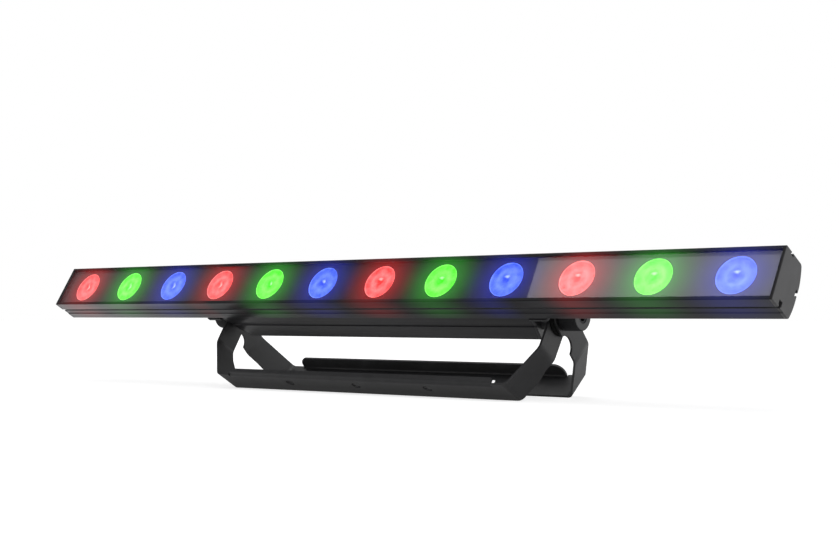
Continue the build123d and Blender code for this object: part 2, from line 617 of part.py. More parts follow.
def driver_end():
    """Right end plate: raked like the tube, with a tongue in it, the pivot's boss and a foot."""
    root = HUB_START - TONGUE_LENGTH
    plate = across(root, END_FRONT, case_outline()) & raked_cut(END_PLATE)
    plate -= raked_cut(0)
    ring = case_inside(GAP) - case_inside(GAP + TONGUE_WALL) - end_screw_ports(END_SCREW_PORT + GAP)
    tongue = across(root, END_FRONT, ring) & raked_cut(END_PLATE + TONGUE_LENGTH)
    plate += tongue - raked_cut(END_PLATE)
    plate += foot()
    plate += rod_x(BOSS_RADIUS, BOSS_START, BOSS_END, PIVOT_DEPTH, PIVOT_HEIGHT)
    plate += rod_x(HUB_RADIUS, HUB_START, BOSS_START, PIVOT_DEPTH, PIVOT_HEIGHT)
    plate -= rod_x(BUSH_RADIUS + PRESS_GAP, BUSH_INNER_END, BOSS_END + GAP, PIVOT_DEPTH, PIVOT_HEIGHT)
    seat = end_screw_seat()
    plate -= across(seat, END_FRONT + GAP, end_screw_ports(END_SCREW_RADIUS + GAP))
    return plate - across(seat - END_SCREW_LENGTH, seat, end_screw_ports(END_SCREW_SHANK + GAP))


def driver_end_screws():
    seat = end_screw_seat()
    heads = across(seat, seat + END_SCREW_HEAD, end_screw_ports(END_SCREW_RADIUS))
    screws = heads + across(seat - END_SCREW_LENGTH, seat, end_screw_ports(END_SCREW_SHANK - PRESS_GAP))
    return [piece for screw in screws.solids() for piece in both_ends(screw)]


def slot_fixings():
    """Each screw into the back slot at the right: its place along the bar and its head's seat."""
    return ((CASE_SCREW_HALF, CASE_INSIDE_FRONT), (FOOT_SCREW_HALF, BACK_DEPTH + FOOT_THICK))


def case_nuts():
    """Nuts in the back slot of the housing that the case and the feet are screwed to."""
    half = BACK_SLOT_WIDTH / 2 - GAP
    front = BACK_DEPTH - SLOT_LIP - NUT_THICK
    nuts = []
    for x, _ in slot_fixings():
        nut = block(x - NUT_LENGTH / 2, x + NUT_LENGTH / 2, front, BACK_DEPTH - SLOT_LIP,
                    BACK_SLOT_HEIGHT - half, BACK_SLOT_HEIGHT + half)
        nut -= rod_y(CASE_SCREW_SHANK + GAP, front - GAP, BACK_DEPTH, x, BACK_SLOT_HEIGHT)
        nuts += both_ends(nut)
    return nuts


def case_screws():
    screws = []
    for x, seat in slot_fixings():
        screw = rod_y(CASE_SCREW_HEAD, seat, seat + CASE_SCREW_HEAD_THICK, x, BACK_SLOT_HEIGHT)
        screw += rod_y(CASE_SCREW_SHANK, BACK_DEPTH - SLOT_LIP - NUT_THICK, seat, x, BACK_SLOT_HEIGHT)
        screws += both_ends(screw)
    return screws


# ---------------------------------------------------------------- pivots
def ring_x(outer, inner, x0, x1):
    """A ring about the pivot axis."""
    ring = rod_x(outer, x0, x1) - rod_x(inner, x0 - GAP, x1 + GAP)
    return Pos(0, PIVOT_DEPTH, PIVOT_HEIGHT) * ring


def pivot_bushes():
    """Threaded steel bushes in the cast ends, which the yokes turn on."""
    return both_ends(ring_x(BUSH_RADIUS, BUSH_BORE, BUSH_INNER_END, BUSH_OUTER_END))


def inner_washers():
    return both_ends(ring_x(WASHER_RADIUS, BUSH_RADIUS + RUNNING_GAP, BOSS_END, BOSS_END + WASHER_THICK))


def friction_discs():
    return both_ends(ring_x(DISC_RADIUS, BUSH_RADIUS + RUNNING_GAP,
                            FRONT_HALF + FACE_GAP, FRONT_HALF + YOKE_GAP - FACE_GAP))


def clamp_washer():
    return ring_x(CLAMP_WASHER_RADIUS, STUD_RADIUS + FACE_GAP, CLAMP_FACE, KNOB_FACE)


def clamp_stud():
    """Steel stud of the right knob, with a hexagon socket in its cap head."""
    stud_end = KNOB_END - STUD_SET_IN
    stud = rod_x(STUD_RADIUS, STUD_INNER_END, stud_end)
    stud += rod_x(STUD_HEAD_RADIUS, stud_end - STUD_HEAD_LENGTH, stud_end)
    stud -= Pos(stud_end - HEX_DEEP, 0, 0) * Rot(0, 90, 0) * extrude(
        RegularPolygon(HEX_ACROSS / 2, 6, major_radius=False), HEX_DEEP)
    return Pos(0, PIVOT_DEPTH, PIVOT_HEIGHT) * stud


def clamp_knob():
    """Plain round knob moulded round the stud, whose head lies just below its outer face."""
    knob = rod_x(KNOB_RADIUS, KNOB_FACE, KNOB_END)
    knob = chamfer(knob.edges().group_by(Axis.X)[-1], KNOB_EDGE)
    knob -= rod_x(STUD_RADIUS + PRESS_GAP, KNOB_FACE - GAP, KNOB_END)
    head_seat = KNOB_END - STUD_SET_IN - STUD_HEAD_LENGTH
    knob -= rod_x(STUD_HEAD_RADIUS + PRESS_GAP, head_seat, KNOB_END + GAP)
    return Pos(0, PIVOT_DEPTH, PIVOT_HEIGHT) * knob


# ---------------------------------------------------------------- yokes
def mitre(points, offset_by):
    """Corner points of a path moved sideways, to the inside of the bend."""
    moved = []
    for i, (x, z) in enumerate(points):
        sides = []
        for a, b in ((i - 1, i), (i, i + 1)):
            if 0 <= a and b < len(points):
                run = Vector(*points[b]) - Vector(*points[a])
                sides.append(Vector(-run.Y, run.X).normalized())
        bisector = sum(sides[1:], sides[0]).normalized()
        reach = offset_by / bisector.dot(sides[0])
        moved.append((x + bisector.X * reach, z + bisector.Y * reach))
    return moved


def bent_strip(half, fold, base_half, reach):
    """Strip bent into a shallow U: two arms, a fold in each, and the base."""
    outer = [(-half, reach), (-half, -fold), (-base_half, -reach),
             (base_half, -reach), (half, -fold), (half, reach)]
    inner = mitre(outer, STRIP_THICK)
    face = make_face(Polyline(*outer, *reversed(inner), close=True))
    for path, extra in ((outer, STRIP_THICK), (inner, 0)):
        for (x, z), radius in zip(path[1:-1], (FOLD_INSIDE, CORNER_INSIDE, CORNER_INSIDE, FOLD_INSIDE)):
            corner = face.vertices().sort_by_distance((x, z, 0))[0]
            face = fillet(corner, radius + extra)
    return extrude(Plane.XZ * face, amount=reach, both=True)


def strip_outline(reach, arm, free_edge):
    """Outline of the strip from the side: a round head, the arm and the wider base."""
    shoulder = reach - SHOULDER
    below = reach + STRIP_THICK
    blade = make_face(Polyline(
        (-arm, 0), (-arm, -shoulder + SHOULDER / 2), (-free_edge, -shoulder),
        (-free_edge, -below), (arm, -below), (arm, 0), close=True))
    return blade + Circle(arm)


def flange(reach, half, edge, top, corner):
    """Stiffening flange turned up along one edge of a base."""
    outer = FLANGE_BEND + STRIP_THICK
    profile = panel(0, edge - outer, -reach, -reach + STRIP_THICK)
    profile += panel(edge - STRIP_THICK, edge, -reach + outer, -top)
    bend = Pos(edge - outer, -reach + outer) * (Circle(outer) - Circle(FLANGE_BEND))
    profile += bend & panel(edge - outer, edge, -reach, -reach + outer)
    lip = across(-half, half, profile)
    corners = lip.edges().filter_by(Axis.Y).group_by(Axis.Z)[-1]
    return fillet(corners, corner)


def yoke(outline, half, fold, base_half, reach, edge, top, setback, corner):
    """A whole yoke, hanging straight down from its pivot, with its flange at the back."""
    body = bent_strip(half, fold, base_half, reach) & across(-half, half, outline)
    flange_half = base_half - setback
    slit_end = flange_half + RELIEF_WIDTH
    body -= block(-slit_end, slit_end, edge - FLANGE_BEND - STRIP_THICK, edge + GAP,
                  -reach - GAP, -reach + STRIP_THICK + GAP)
    body += flange(reach, flange_half, edge, top, corner)
    for x in (-HOLE_PITCH, 0, HOLE_PITCH):
        body -= Pos(x, 0, -reach) * Cylinder(HOLE_RADIUS, 4 * STRIP_THICK)
    return body - rod_x(BUSH_RADIUS + RUNNING_GAP, -half - GAP, half + GAP)


def front_yoke():
    """The smaller yoke, turned round so that its flange is at the front."""
    outline = strip_outline(FRONT_REACH, FRONT_ARM, FRONT_FREE_EDGE)
    body = yoke(outline, FRONT_HALF, FRONT_FOLD, FRONT_BASE_HALF, FRONT_REACH,
                FRONT_ARM, FRONT_FLANGE_TOP, FRONT_SETBACK, FRONT_FLANGE_CORNER)
    return mirror(body, Plane.XZ)


def rear_yoke():
    """The larger yoke, which the front one folds into, with a waist in the front edge of its arms."""
    outline = strip_outline(REAR_REACH, REAR_ARM, REAR_FREE_EDGE)
    outline -= Pos(NOTCH_ACROSS, NOTCH_DOWN) * Circle(NOTCH_RADIUS)
    return yoke(outline, REAR_HALF, REAR_FOLD, REAR_BASE_HALF, REAR_REACH,
                REAR_ARM, REAR_FLANGE_TOP, REAR_SETBACK, REAR_FLANGE_CORNER)


# ---------------------------------------------------------------- control panel
def button_places():
    return [BUTTON_START - BUTTON_PITCH * i for i in range(len(BUTTON_NAMES))]


def control_plate():
    """Plate on the back of the case, with the display's cut-out and a hole for each button."""
    plate = plate_y(PLATE_LENGTH, PLATE_WIDTH, PLATE_ROUND, CASE_BACK, CASE_BACK + PLATE_THICK,
                    0, PANEL_HEIGHT)
    through = (CASE_BACK - GAP, CASE_BACK + PLATE_THICK + GAP)
    plate -= plate_y(DISPLAY_LENGTH + 2 * GAP, DISPLAY_WIDTH + 2 * GAP, PLATE_ROUND / 2,
                     *through, DISPLAY_OFFSET, PANEL_HEIGHT)
    for x in button_places():
        plate -= rod_y(BUTTON_RADIUS + BUTTON_CLEARANCE, *through, x, PANEL_HEIGHT)
    return plate


def display_window():
    """Clear cover of the display, from the board to the face of the plate."""
    return plate_y(DISPLAY_LENGTH, DISPLAY_WIDTH, PLATE_ROUND / 2,
                   CASE_BACK + PLATE_THICK - DISPLAY_THICK, CASE_BACK + PLATE_THICK,
                   DISPLAY_OFFSET, PANEL_HEIGHT)


def push_button(x):
    """Round push button with a flange behind the plate and a stem that reaches its switch."""
    face = CASE_BACK + PLATE_THICK + BUTTON_PROUD
    flange_back = CASE_BACK - BUTTON_CLEARANCE
    button = rod_y(BUTTON_RADIUS, flange_back, face, x, PANEL_HEIGHT)
    button = fillet(button.edges().group_by(Axis.Y)[-1], BUTTON_CLEARANCE * 2)
    button += rod_y(BUTTON_FLANGE, flange_back - BUTTON_FLANGE_THICK, flange_back, x, PANEL_HEIGHT)
    stem_end = CONTROL_BOARD_DEPTH + BOARD_THICK + SWITCH_SIDE / 2 + BUTTON_TRAVEL + BUTTON_CLEARANCE
    return button + rod_y(BUTTON_RADIUS / 2, stem_end, flange_back, x, PANEL_HEIGHT)


def control_board():
    """Circuit board behind the panel, with a switch for each button and the display's block."""
    half = CONTROL_BOARD_WIDTH / 2
    front = CONTROL_BOARD_DEPTH
    back = front + BOARD_THICK
    board = block(-CONTROL_BOARD_LENGTH / 2, CONTROL_BOARD_LENGTH / 2, front, back,
                  PANEL_HEIGHT - half, PANEL_HEIGHT + half)
    for x in button_places():
        board += block(x - SWITCH_SIDE / 2, x + SWITCH_SIDE / 2, back, back + SWITCH_SIDE / 2,
                       PANEL_HEIGHT - SWITCH_SIDE / 2, PANEL_HEIGHT + SWITCH_SIDE / 2)
    display_back = CASE_BACK + PLATE_THICK - DISPLAY_THICK - GAP
    board += block(DISPLAY_OFFSET - DISPLAY_LENGTH / 2, DISPLAY_OFFSET + DISPLAY_LENGTH / 2,
                   back, display_back, PANEL_HEIGHT - DISPLAY_WIDTH / 2, PANEL_HEIGHT + DISPLAY_WIDTH / 2)
    return board


# ---------------------------------------------------------------- sockets and fuse
def power_socket(x, plug_inside):
    """Snap-in mains socket: pins in a deep cavity for the inlet, a solid core for the outlet."""
    back = CASE_BACK + POWER_FLANGE_THICK
    socket = plate_y(POWER_FLANGE_LENGTH, POWER_FLANGE_WIDTH, PANEL_FLANGE_ROUND, CASE_BACK, back)
    socket += plate_y(POWER_BODY_LENGTH, POWER_BODY_WIDTH, POWER_BODY_ROUND,
                      back - POWER_BODY_DEEP, back)
    cavity = plate_y(POWER_CAVITY_LENGTH, POWER_CAVITY_WIDTH, PANEL_FLANGE_ROUND,
                     back - POWER_CAVITY_DEEP, back + GAP)
    if plug_inside:
        cavity -= plate_y(POWER_CAVITY_LENGTH - 2 * BLADE_WIDTH, POWER_CAVITY_WIDTH - 2 * BLADE_WIDTH,
                          PANEL_FLANGE_ROUND, back - POWER_CAVITY_DEEP, back)
    socket -= cavity
    for dx, height in ((-BLADE_PITCH, BLADE_RISE), (BLADE_PITCH, BLADE_RISE), (0, -BLADE_DROP)):
        root = back - POWER_CAVITY_DEEP
        blade = block(dx - BLADE_WIDTH / 2, dx + BLADE_WIDTH / 2, root, root + BLADE_LENGTH,
                      height - BLADE_HEIGHT / 2, height + BLADE_HEIGHT / 2)
        if plug_inside:
            socket -= Pos(0, POWER_CAVITY_DEEP - BLADE_LENGTH + GAP, 0) * blade
        else:
            socket += blade
    return Pos(x, 0, PANEL_HEIGHT) * socket


def fuse_holder():
    """Round fuse holder with a flange on the panel."""
    end = CASE_BACK + FUSE_FLANGE_THICK
    holder = rod_y(FUSE_FLANGE_RADIUS, CASE_BACK, end, FUSE_X, PANEL_HEIGHT)
    holder += rod_y(FUSE_BODY_RADIUS, CASE_BACK - FUSE_BODY_DEEP, CASE_BACK, FUSE_X, PANEL_HEIGHT)
    bore_end = CASE_BACK - FUSE_BODY_DEEP + FUSE_WALL
    return holder - rod_y(FUSE_BODY_RADIUS - FUSE_WALL, bore_end, end + GAP, FUSE_X, PANEL_HEIGHT)


def fuse_cap():
    """Bayonet cap that carries the fuse, with a screwdriver slot across it."""
    seat = CASE_BACK + FUSE_FLANGE_THICK + FACE_GAP
    face = seat + FUSE_CAP_PROUD
    cap = rod_y(FUSE_CAP_RADIUS, seat, face, FUSE_X, PANEL_HEIGHT)
    cap += rod_y(FUSE_STEM_RADIUS, seat - FUSE_STEM_LENGTH, seat, FUSE_X, PANEL_HEIGHT)
    return cap - block(FUSE_X - FUSE_CAP_RADIUS, FUSE_X + FUSE_CAP_RADIUS, face - FUSE_WALL, face + GAP,
                       PANEL_HEIGHT - FUSE_WALL / 2, PANEL_HEIGHT + FUSE_WALL / 2)


def data_pin_places():
    """Three contacts on a circle, with the gap at the top."""
    return [(DATA_PIN_CIRCLE * math.cos(math.radians(a)), DATA_PIN_CIRCLE * math.sin(math.radians(a)))
            for a in (180, 270, 360)]


def data_socket_body():
    """What the two data sockets share: a square flange and a round body."""
    back = CASE_BACK + DATA_FLANGE_THICK
    body = plate_y(DATA_FLANGE_SIDE, DATA_FLANGE_SIDE, PANEL_FLANGE_ROUND, CASE_BACK, back)
    return body + rod_y(DATA_BODY_RADIUS, back - DATA_BODY_DEEP, back)


def data_inlet():
    """Three pins in an open round cavity."""
    back = CASE_BACK + DATA_FLANGE_THICK
    root = back - DATA_CAVITY_DEEP
    socket = data_socket_body() - rod_y(DATA_CAVITY_RADIUS, root, back + GAP)
    for dx, dz in data_pin_places():
        socket += rod_y(DATA_PIN_RADIUS, root, root + DATA_PIN_LENGTH, dx, dz)
    return Pos(DATA_IN_X, 0, PANEL_HEIGHT) * socket


def data_outlet():
    """A round core with three contact holes, a gap round it, and a slot for the latch."""
    back = CASE_BACK + DATA_FLANGE_THICK
    root = back - DATA_CAVITY_DEEP
    socket = data_socket_body()
    socket -= rod_y(DATA_CAVITY_RADIUS, root, back + GAP) - rod_y(DATA_CORE_RADIUS, root, back)
    for dx, dz in data_pin_places():
        socket -= rod_y(DATA_PIN_RADIUS, root, back + GAP, dx, dz)
    socket -= latch_space(SOCKET_CLEARANCE, LATCH_DEEP + LATCH_TRAVEL + SOCKET_CLEARANCE)
    return Pos(DATA_OUT_X, 0, PANEL_HEIGHT) * socket


def latch_space(clearance, deep):
    """The latch of the data outlet, or with a clearance the slot that it slides in."""
    back = CASE_BACK + DATA_FLANGE_THICK
    height = DATA_FLANGE_SIDE / 2 - LATCH_WIDTH / 2 - PLATE_THICK / 2
    return block(-LATCH_LENGTH / 2 - clearance, LATCH_LENGTH / 2 + clearance,
                 back - deep, back + LATCH_PROUD,
                 height - LATCH_WIDTH / 2 - clearance, height + LATCH_WIDTH / 2 + clearance)


def data_latch():
    return Pos(DATA_OUT_X, 0, PANEL_HEIGHT) * latch_space(0, LATCH_DEEP)


def safety_loop():
    """Bent steel rod for a safety cable, with a round foot at each end."""
    inside = CASE_INSIDE_BACK - LOOP_FOOT_THICK
    route = FilletPolyline(
        (LOOP_X - LOOP_HALF, inside), (LOOP_X - LOOP_HALF, CASE_BACK + LOOP_REACH),
        (LOOP_X + LOOP_HALF, CASE_BACK + LOOP_REACH), (LOOP_X + LOOP_HALF, inside), radius=LOOP_BEND)
    start = Plane(origin=(LOOP_X - LOOP_HALF, inside, 0), z_dir=(0, 1, 0))
    loop = sweep(start * Circle(LOOP_ROD), path=route)
    for side in (-1, 1):
        loop += rod_y(LOOP_FOOT_RADIUS, inside, CASE_INSIDE_BACK, LOOP_X + side * LOOP_HALF)
    return Pos(0, 0, PANEL_HEIGHT) * loop


# ---------------------------------------------------------------- electronics
def power_board():
    half = POWER_BOARD_WIDTH / 2
    front = CASE_INSIDE_FRONT + PILLAR_HEIGHT
    return block(POWER_BOARD_X - POWER_BOARD_LENGTH / 2, POWER_BOARD_X + POWER_BOARD_LENGTH / 2,
                 front, front + BOARD_THICK, PANEL_HEIGHT - half, PANEL_HEIGHT + half)


def board_pillars():
    """Pillars that hold the power board to the front wall and the control board to the back wall."""
    power_reach = POWER_BOARD_LENGTH / 2 - 2 * PILLAR_RADIUS
    power_rise = POWER_BOARD_WIDTH / 2 - 2 * PILLAR_RADIUS
    control_reach = (CONTROL_BOARD_LENGTH / 2 + CONTROL_OPENING_LENGTH / 2) / 2
    control_rise = (CONTROL_BOARD_WIDTH / 2 + CONTROL_OPENING_WIDTH / 2) / 2
    pillars = []
    for side in (-1, 1):
        for edge in (-1, 1):
            pillars.append(rod_y(PILLAR_RADIUS, CASE_INSIDE_FRONT, CASE_INSIDE_FRONT + PILLAR_HEIGHT,
                                 POWER_BOARD_X + side * power_reach, PANEL_HEIGHT + edge * power_rise))
            pillars.append(rod_y(CONTROL_PILLAR_RADIUS, CONTROL_BOARD_DEPTH + BOARD_THICK, CASE_INSIDE_BACK,
                                 side * control_reach, PANEL_HEIGHT + edge * control_rise))
    return pillars


def power_transformer():
    """Wound transformer: a wide coil block with a core through it."""
    length, deep, tall = TRANSFORMER_SIZE
    seat = CASE_INSIDE_FRONT + PILLAR_HEIGHT + BOARD_THICK
    coil = block(TRANSFORMER_X - length / 2, TRANSFORMER_X + length / 2, seat, seat + deep,
                 PANEL_HEIGHT - tall / 2, PANEL_HEIGHT + tall / 2)
    core = block(TRANSFORMER_X - CORE_LENGTH / 2, TRANSFORMER_X + CORE_LENGTH / 2,
                 seat, seat + deep + BOARD_THICK,
                 PANEL_HEIGHT - tall / 2 - BOARD_THICK, PANEL_HEIGHT + tall / 2 + BOARD_THICK)
    return coil + core


def power_capacitors():
    seat = CASE_INSIDE_FRONT + PILLAR_HEIGHT + BOARD_THICK
    return [rod_y(CAPACITOR_RADIUS, seat, seat + CAPACITOR_HEIGHT, CAPACITOR_X + CAPACITOR_PITCH * i,
                  PANEL_HEIGHT) for i in range(CAPACITOR_COUNT)]


def lamp_lead():
    """Lead from the case to the lamp boards, straight through the grommet."""
    return rod_y(LEAD_RADIUS, WEB_DEPTH, CASE_INSIDE_FRONT + PILLAR_HEIGHT, LEAD_X, LEAD_HEIGHT)


def lead_grommet():
    """Rubber bush that lines the holes for the lead."""
    outer = LEAD_RADIUS + GROMMET_WALL
    bush = rod_y(outer, WEB_DEPTH + WEB_THICK, CASE_INSIDE_FRONT, LEAD_X, LEAD_HEIGHT)
    bush += rod_y(outer + GROMMET_FLANGE, CASE_INSIDE_FRONT, CASE_INSIDE_FRONT + GROMMET_FLANGE,
                  LEAD_X, LEAD_HEIGHT)
    return bush - rod_y(LEAD_RADIUS + GAP, WEB_DEPTH, CASE_INSIDE_FRONT + PILLAR_HEIGHT,
                        LEAD_X, LEAD_HEIGHT)


# ---------------------------------------------------------------- the whole object
def all_nodes():
    """Every node's name, with its solids in the row frame."""
    cap = both_ends(end_cap())
    end = both_ends(driver_end())
    washer = both_ends(clamp_washer())
    stud = both_ends(clamp_stud())
    knob = both_ends(clamp_knob())
    bar = {
        "housing_extrusion": housing_extrusion(),
        "right_end_cap": cap[0],
        "left_end_cap": cap[1],
        "front_window": front_window(),
        "lens_mask": lens_mask(),
        "lens_holders": lens_holders(),
        "left_led_board": led_board(-1),
        "right_led_board": led_board(1),
        "led_emitters": led_emitters(),
        "board_screws": board_screws(),
        "driver_case": driver_case(),
        "right_driver_end": end[0],
        "left_driver_end": end[1],
        "driver_end_screws": driver_end_screws(),
        "case_nuts": case_nuts(),
        "case_screws": case_screws(),
        "pivot_bushes": pivot_bushes(),
        "inner_washers": inner_washers(),
        "friction_discs": friction_discs(),
        "right_clamp_washer": washer[0],
        "left_clamp_washer": washer[1],
        "right_clamp_stud": stud[0],
        "left_clamp_stud": stud[1],
        "right_clamp_knob": knob[0],
        "left_clamp_knob": knob[1],
        "control_plate": control_plate(),
        "display_window": display_window(),
        "control_board": control_board(),
        "power_inlet": power_socket(POWER_IN_X, False),
        "power_outlet": power_socket(POWER_OUT_X, True),
        "fuse_holder": fuse_holder(),
        "fuse_cap": fuse_cap(),
        "data_inlet": data_inlet(),
        "data_outlet": data_outlet(),
        "data_latch": data_latch(),
        "safety_loop": safety_loop(),
        "power_board": power_board(),
        "board_pillars": board_pillars(),
        "power_transformer": power_transformer(),
        "power_capacitors": power_capacitors(),
        "lamp_lead": lamp_lead(),
        "lead_grommet": lead_grommet(),
    }
    for i, x in enumerate(lens_places()):
        bar[f"lens_{i + 1:02d}"] = lens(x)
    for name, x in zip(BUTTON_NAMES, button_places()):
        bar[name] = push_button(x)
    nodes = {name: placed(solids, BAR_PLACE) for name, solids in bar.items()}
    nodes["front_yoke"] = placed(front_yoke(), FRONT_PLACE)
    nodes["rear_yoke"] = placed(rear_yoke(), REAR_PLACE)
    return nodes


def placed(solids, place):
    """One solid, or a group of separate ones, moved to its place in the row frame."""
    if isinstance(solids, list):
        return place * Compound(children=[Solid(piece.solids()[0].wrapped) for piece in solids])
    return place * solids


os.makedirs("parts", exist_ok=True)
for node_name, shape in all_nodes().items():
    export_step(shape, f"parts/{node_name}.step")
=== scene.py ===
import math

import bmesh
import bpy
from mathutils import Matrix, Vector


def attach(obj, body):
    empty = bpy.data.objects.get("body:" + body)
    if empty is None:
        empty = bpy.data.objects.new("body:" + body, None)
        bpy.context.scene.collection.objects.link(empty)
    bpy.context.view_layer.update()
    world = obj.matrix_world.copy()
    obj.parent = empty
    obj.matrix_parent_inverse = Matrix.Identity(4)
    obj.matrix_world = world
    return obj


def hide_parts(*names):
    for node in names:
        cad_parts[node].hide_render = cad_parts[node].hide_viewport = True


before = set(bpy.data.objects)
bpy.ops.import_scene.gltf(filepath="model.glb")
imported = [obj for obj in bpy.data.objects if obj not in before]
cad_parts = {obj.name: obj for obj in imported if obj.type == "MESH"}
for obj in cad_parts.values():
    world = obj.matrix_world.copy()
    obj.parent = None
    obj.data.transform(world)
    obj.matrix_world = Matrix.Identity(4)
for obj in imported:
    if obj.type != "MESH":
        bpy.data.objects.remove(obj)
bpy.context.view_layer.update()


# --- Bar housing --------------------------------------------------------------------------------
# One aluminium extrusion, a metre long, with slots along its top, underside and back, and faint
# lines from its die. It is anodised black and satin, and duller along the front of its lips. Inside
# the slot underneath its faces are painted greyer: painted light that lifts the shade in the slot.
PIVOT = Vector((0.0, -0.001304, 0.082404))
TILT = math.radians(31.3)
ROW_FROM_PIVOT = (0.0, -0.0642, 0.0039)     # to the middle of the lens row, in the window's plane
BAR_PLACE = (Matrix.Translation(PIVOT) @ Matrix.Rotation(-TILT, 4, "X")
             @ Matrix.Translation(ROW_FROM_PIVOT))
TO_BAR = BAR_PLACE.inverted()
SAME_POINT = 1e-6
SAME_PLANE = math.radians(0.3)
SHARP_EDGE = math.radians(30.0)
MOST_CORNERS_SMOOTH = 4     # a face with more corners is a flat wall and stays flat


def surface(name, colour, roughness, metallic=0.0, specular=0.5):
    """A new material with its shader's constant values set on the sockets."""
    material = bpy.data.materials.new(name)
    material.use_nodes = True
    shader = material.node_tree.nodes["Principled BSDF"]
    shader.inputs["Base Color"].default_value = (*colour, 1.0)
    shader.inputs["Roughness"].default_value = roughness
    shader.inputs["Metallic"].default_value = metallic
    shader.inputs["Specular IOR Level"].default_value = specular
    return material


def grain(material, scale, stretch=(1.0, 1.0, 1.0), detail=4.0, turn=(0.0, 0.0, 0.0)):
    """Noise in the piece's own coordinates, stretched and turned by a Mapping node."""
    tree = material.node_tree
    coordinates = tree.nodes.new("ShaderNodeTexCoord")
    mapping = tree.nodes.new("ShaderNodeMapping")
    mapping.inputs["Rotation"].default_value = turn
    mapping.inputs["Scale"].default_value = stretch
    noise = tree.nodes.new("ShaderNodeTexNoise")
    noise.inputs["Scale"].default_value = scale
    noise.inputs["Detail"].default_value = detail
    tree.links.new(coordinates.outputs["Object"], mapping.inputs["Vector"])
    tree.links.new(mapping.outputs["Vector"], noise.inputs["Vector"])
    return noise.outputs["Fac"]


def spread(owner, value, low, high, start=0.3, end=0.7):
    """Carry a value from the range start to end into the range low to high."""
    node = owner.node_tree.nodes.new("ShaderNodeMapRange")
    node.inputs["From Min"].default_value = start
    node.inputs["From Max"].default_value = end
    node.inputs["To Min"].default_value = low
    node.inputs["To Max"].default_value = high
    owner.node_tree.links.new(value, node.inputs["Value"])
    return node.outputs["Result"]


def blend_colours(material, value, first, second):
    """A colour between two, by a value from 0 to 1."""
    ramp = material.node_tree.nodes.new("ShaderNodeValToRGB")
    ramp.color_ramp.elements[0].color = (*first, 1.0)
    ramp.color_ramp.elements[1].color = (*second, 1.0)
    material.node_tree.links.new(value, ramp.inputs["Fac"])
    return ramp.outputs["Color"]


def bumps(material, value, strength, distance, below=None):
    """Small relief from a value, on top of another relief where one is given."""
    node = material.node_tree.nodes.new("ShaderNodeBump")
    node.inputs["Strength"].default_value = strength
    node.inputs["Distance"].default_value = distance
    material.node_tree.links.new(value, node.inputs["Height"])
    if below is not None:
        material.node_tree.links.new(below, node.inputs["Normal"])
    return node.outputs["Normal"]


def wire(material, socket, value):
    """Join a value to one of the shader's sockets."""
    shader = material.node_tree.nodes["Principled BSDF"]
    material.node_tree.links.new(value, shader.inputs[socket])


def put_in_scene(name, data):
    """A new object at the origin with this mesh, lamp or camera."""
    thing = bpy.data.objects.new(name, data)
    bpy.context.scene.collection.objects.link(thing)
    return thing


def dressed_copy(node, edge, *finishes, body="bar", segments=2):
    """A merged copy of a solid that stands for it, with its sharp edges broken."""
    piece = put_in_scene(f"{node}_dressed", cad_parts[node].data.copy())
    shape = bmesh.new()
    shape.from_mesh(piece.data)
    bmesh.ops.remove_doubles(shape, verts=shape.verts, dist=SAME_POINT)
    bmesh.ops.dissolve_limit(shape, angle_limit=SAME_PLANE, verts=shape.verts, edges=shape.edges)
    shape.to_mesh(piece.data)
    shape.free()
    piece.data.materials.clear()
    for finish in finishes:
        piece.data.materials.append(finish)
    for face in piece.data.polygons:
        face.use_smooth = len(face.vertices) <= MOST_CORNERS_SMOOTH
    bevel = piece.modifiers.new("broken_edges", "BEVEL")
    bevel.width = edge
    bevel.segments = segments
    bevel.limit_method = "ANGLE"
    bevel.angle_limit = SHARP_EDGE
    bevel.harden_normals = True
    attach(piece, body)
    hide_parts(node)
    return piece


def anodised(name, colour, roughness, specular=0.5):
    """Black anodised extrusion, with die lines along X."""
    material = surface(name, colour, roughness, specular=specular)
    along_bar = (TILT, 0.0, 0.0)
    die_lines = grain(material, 1500.0, stretch=(0.004, 1.0, 1.0), detail=3.0, turn=along_bar)
    cloud = grain(material, 14.0, stretch=(0.3, 1.0, 1.0), detail=3.0, turn=along_bar)
    specks = grain(material, 3500.0, detail=1.0)
    tone = spread(material, cloud, 0.0, 1.0)
    lighter = tuple(part * 1.35 for part in colour)
    wire(material, "Base Color", blend_colours(material, tone, colour, lighter))
    wire(material, "Roughness", spread(material, die_lines, roughness - 0.05, roughness + 0.07))
    fine = bumps(material, specks, strength=0.08, distance=0.00004)
    relief = bumps(material, die_lines, strength=0.12, distance=0.00005, below=fine)
    wire(material, "Normal", relief)
    return material


HOUSING_BLACK = (0.016, 0.016, 0.018)
HOUSING_ROUGHNESS = 0.36
LIP_BLACK = (0.010, 0.010, 0.011)           # the front edges of the end caps have it too
LIP_ROUGHNESS = 0.62
LIP_SPECULAR = 0.2
housing_black = anodised("housing_black_anodised", HOUSING_BLACK, HOUSING_ROUGHNESS)
lip_black_painted_halo = anodised("lip_black_painted_halo_blasted", LIP_BLACK, LIP_ROUGHNESS, LIP_SPECULAR)
under_black_painted_halo = anodised("under_black_painted_halo_anodised", HOUSING_BLACK, HOUSING_ROUGHNESS)
# painted light: grey on the slot's faces lifts the shade inside the slot
slot_painted_light = anodised("slot_painted_light_anodised", colour=(0.10, 0.10, 0.105), roughness=0.6)
housing = dressed_copy("housing_extrusion", 0.00035,
                       housing_black, lip_black_painted_halo, under_black_painted_halo, slot_painted_light)
PLAIN, LIP, PAINTED_HALO_SIDE, IN_SLOT = range(4)   # in the order of the finishes above
# Each limit between finishes lies a little past the edge that it is named for.
LIP_ROUND_BACK = -0.0032
WINDOW_SEAT = 0.0005
RECESS_FLOOR = -0.0266
SLOT_MIDDLE = 0.0105
SLOT_HALF = 0.003
SLOT_CEILING = -0.0203


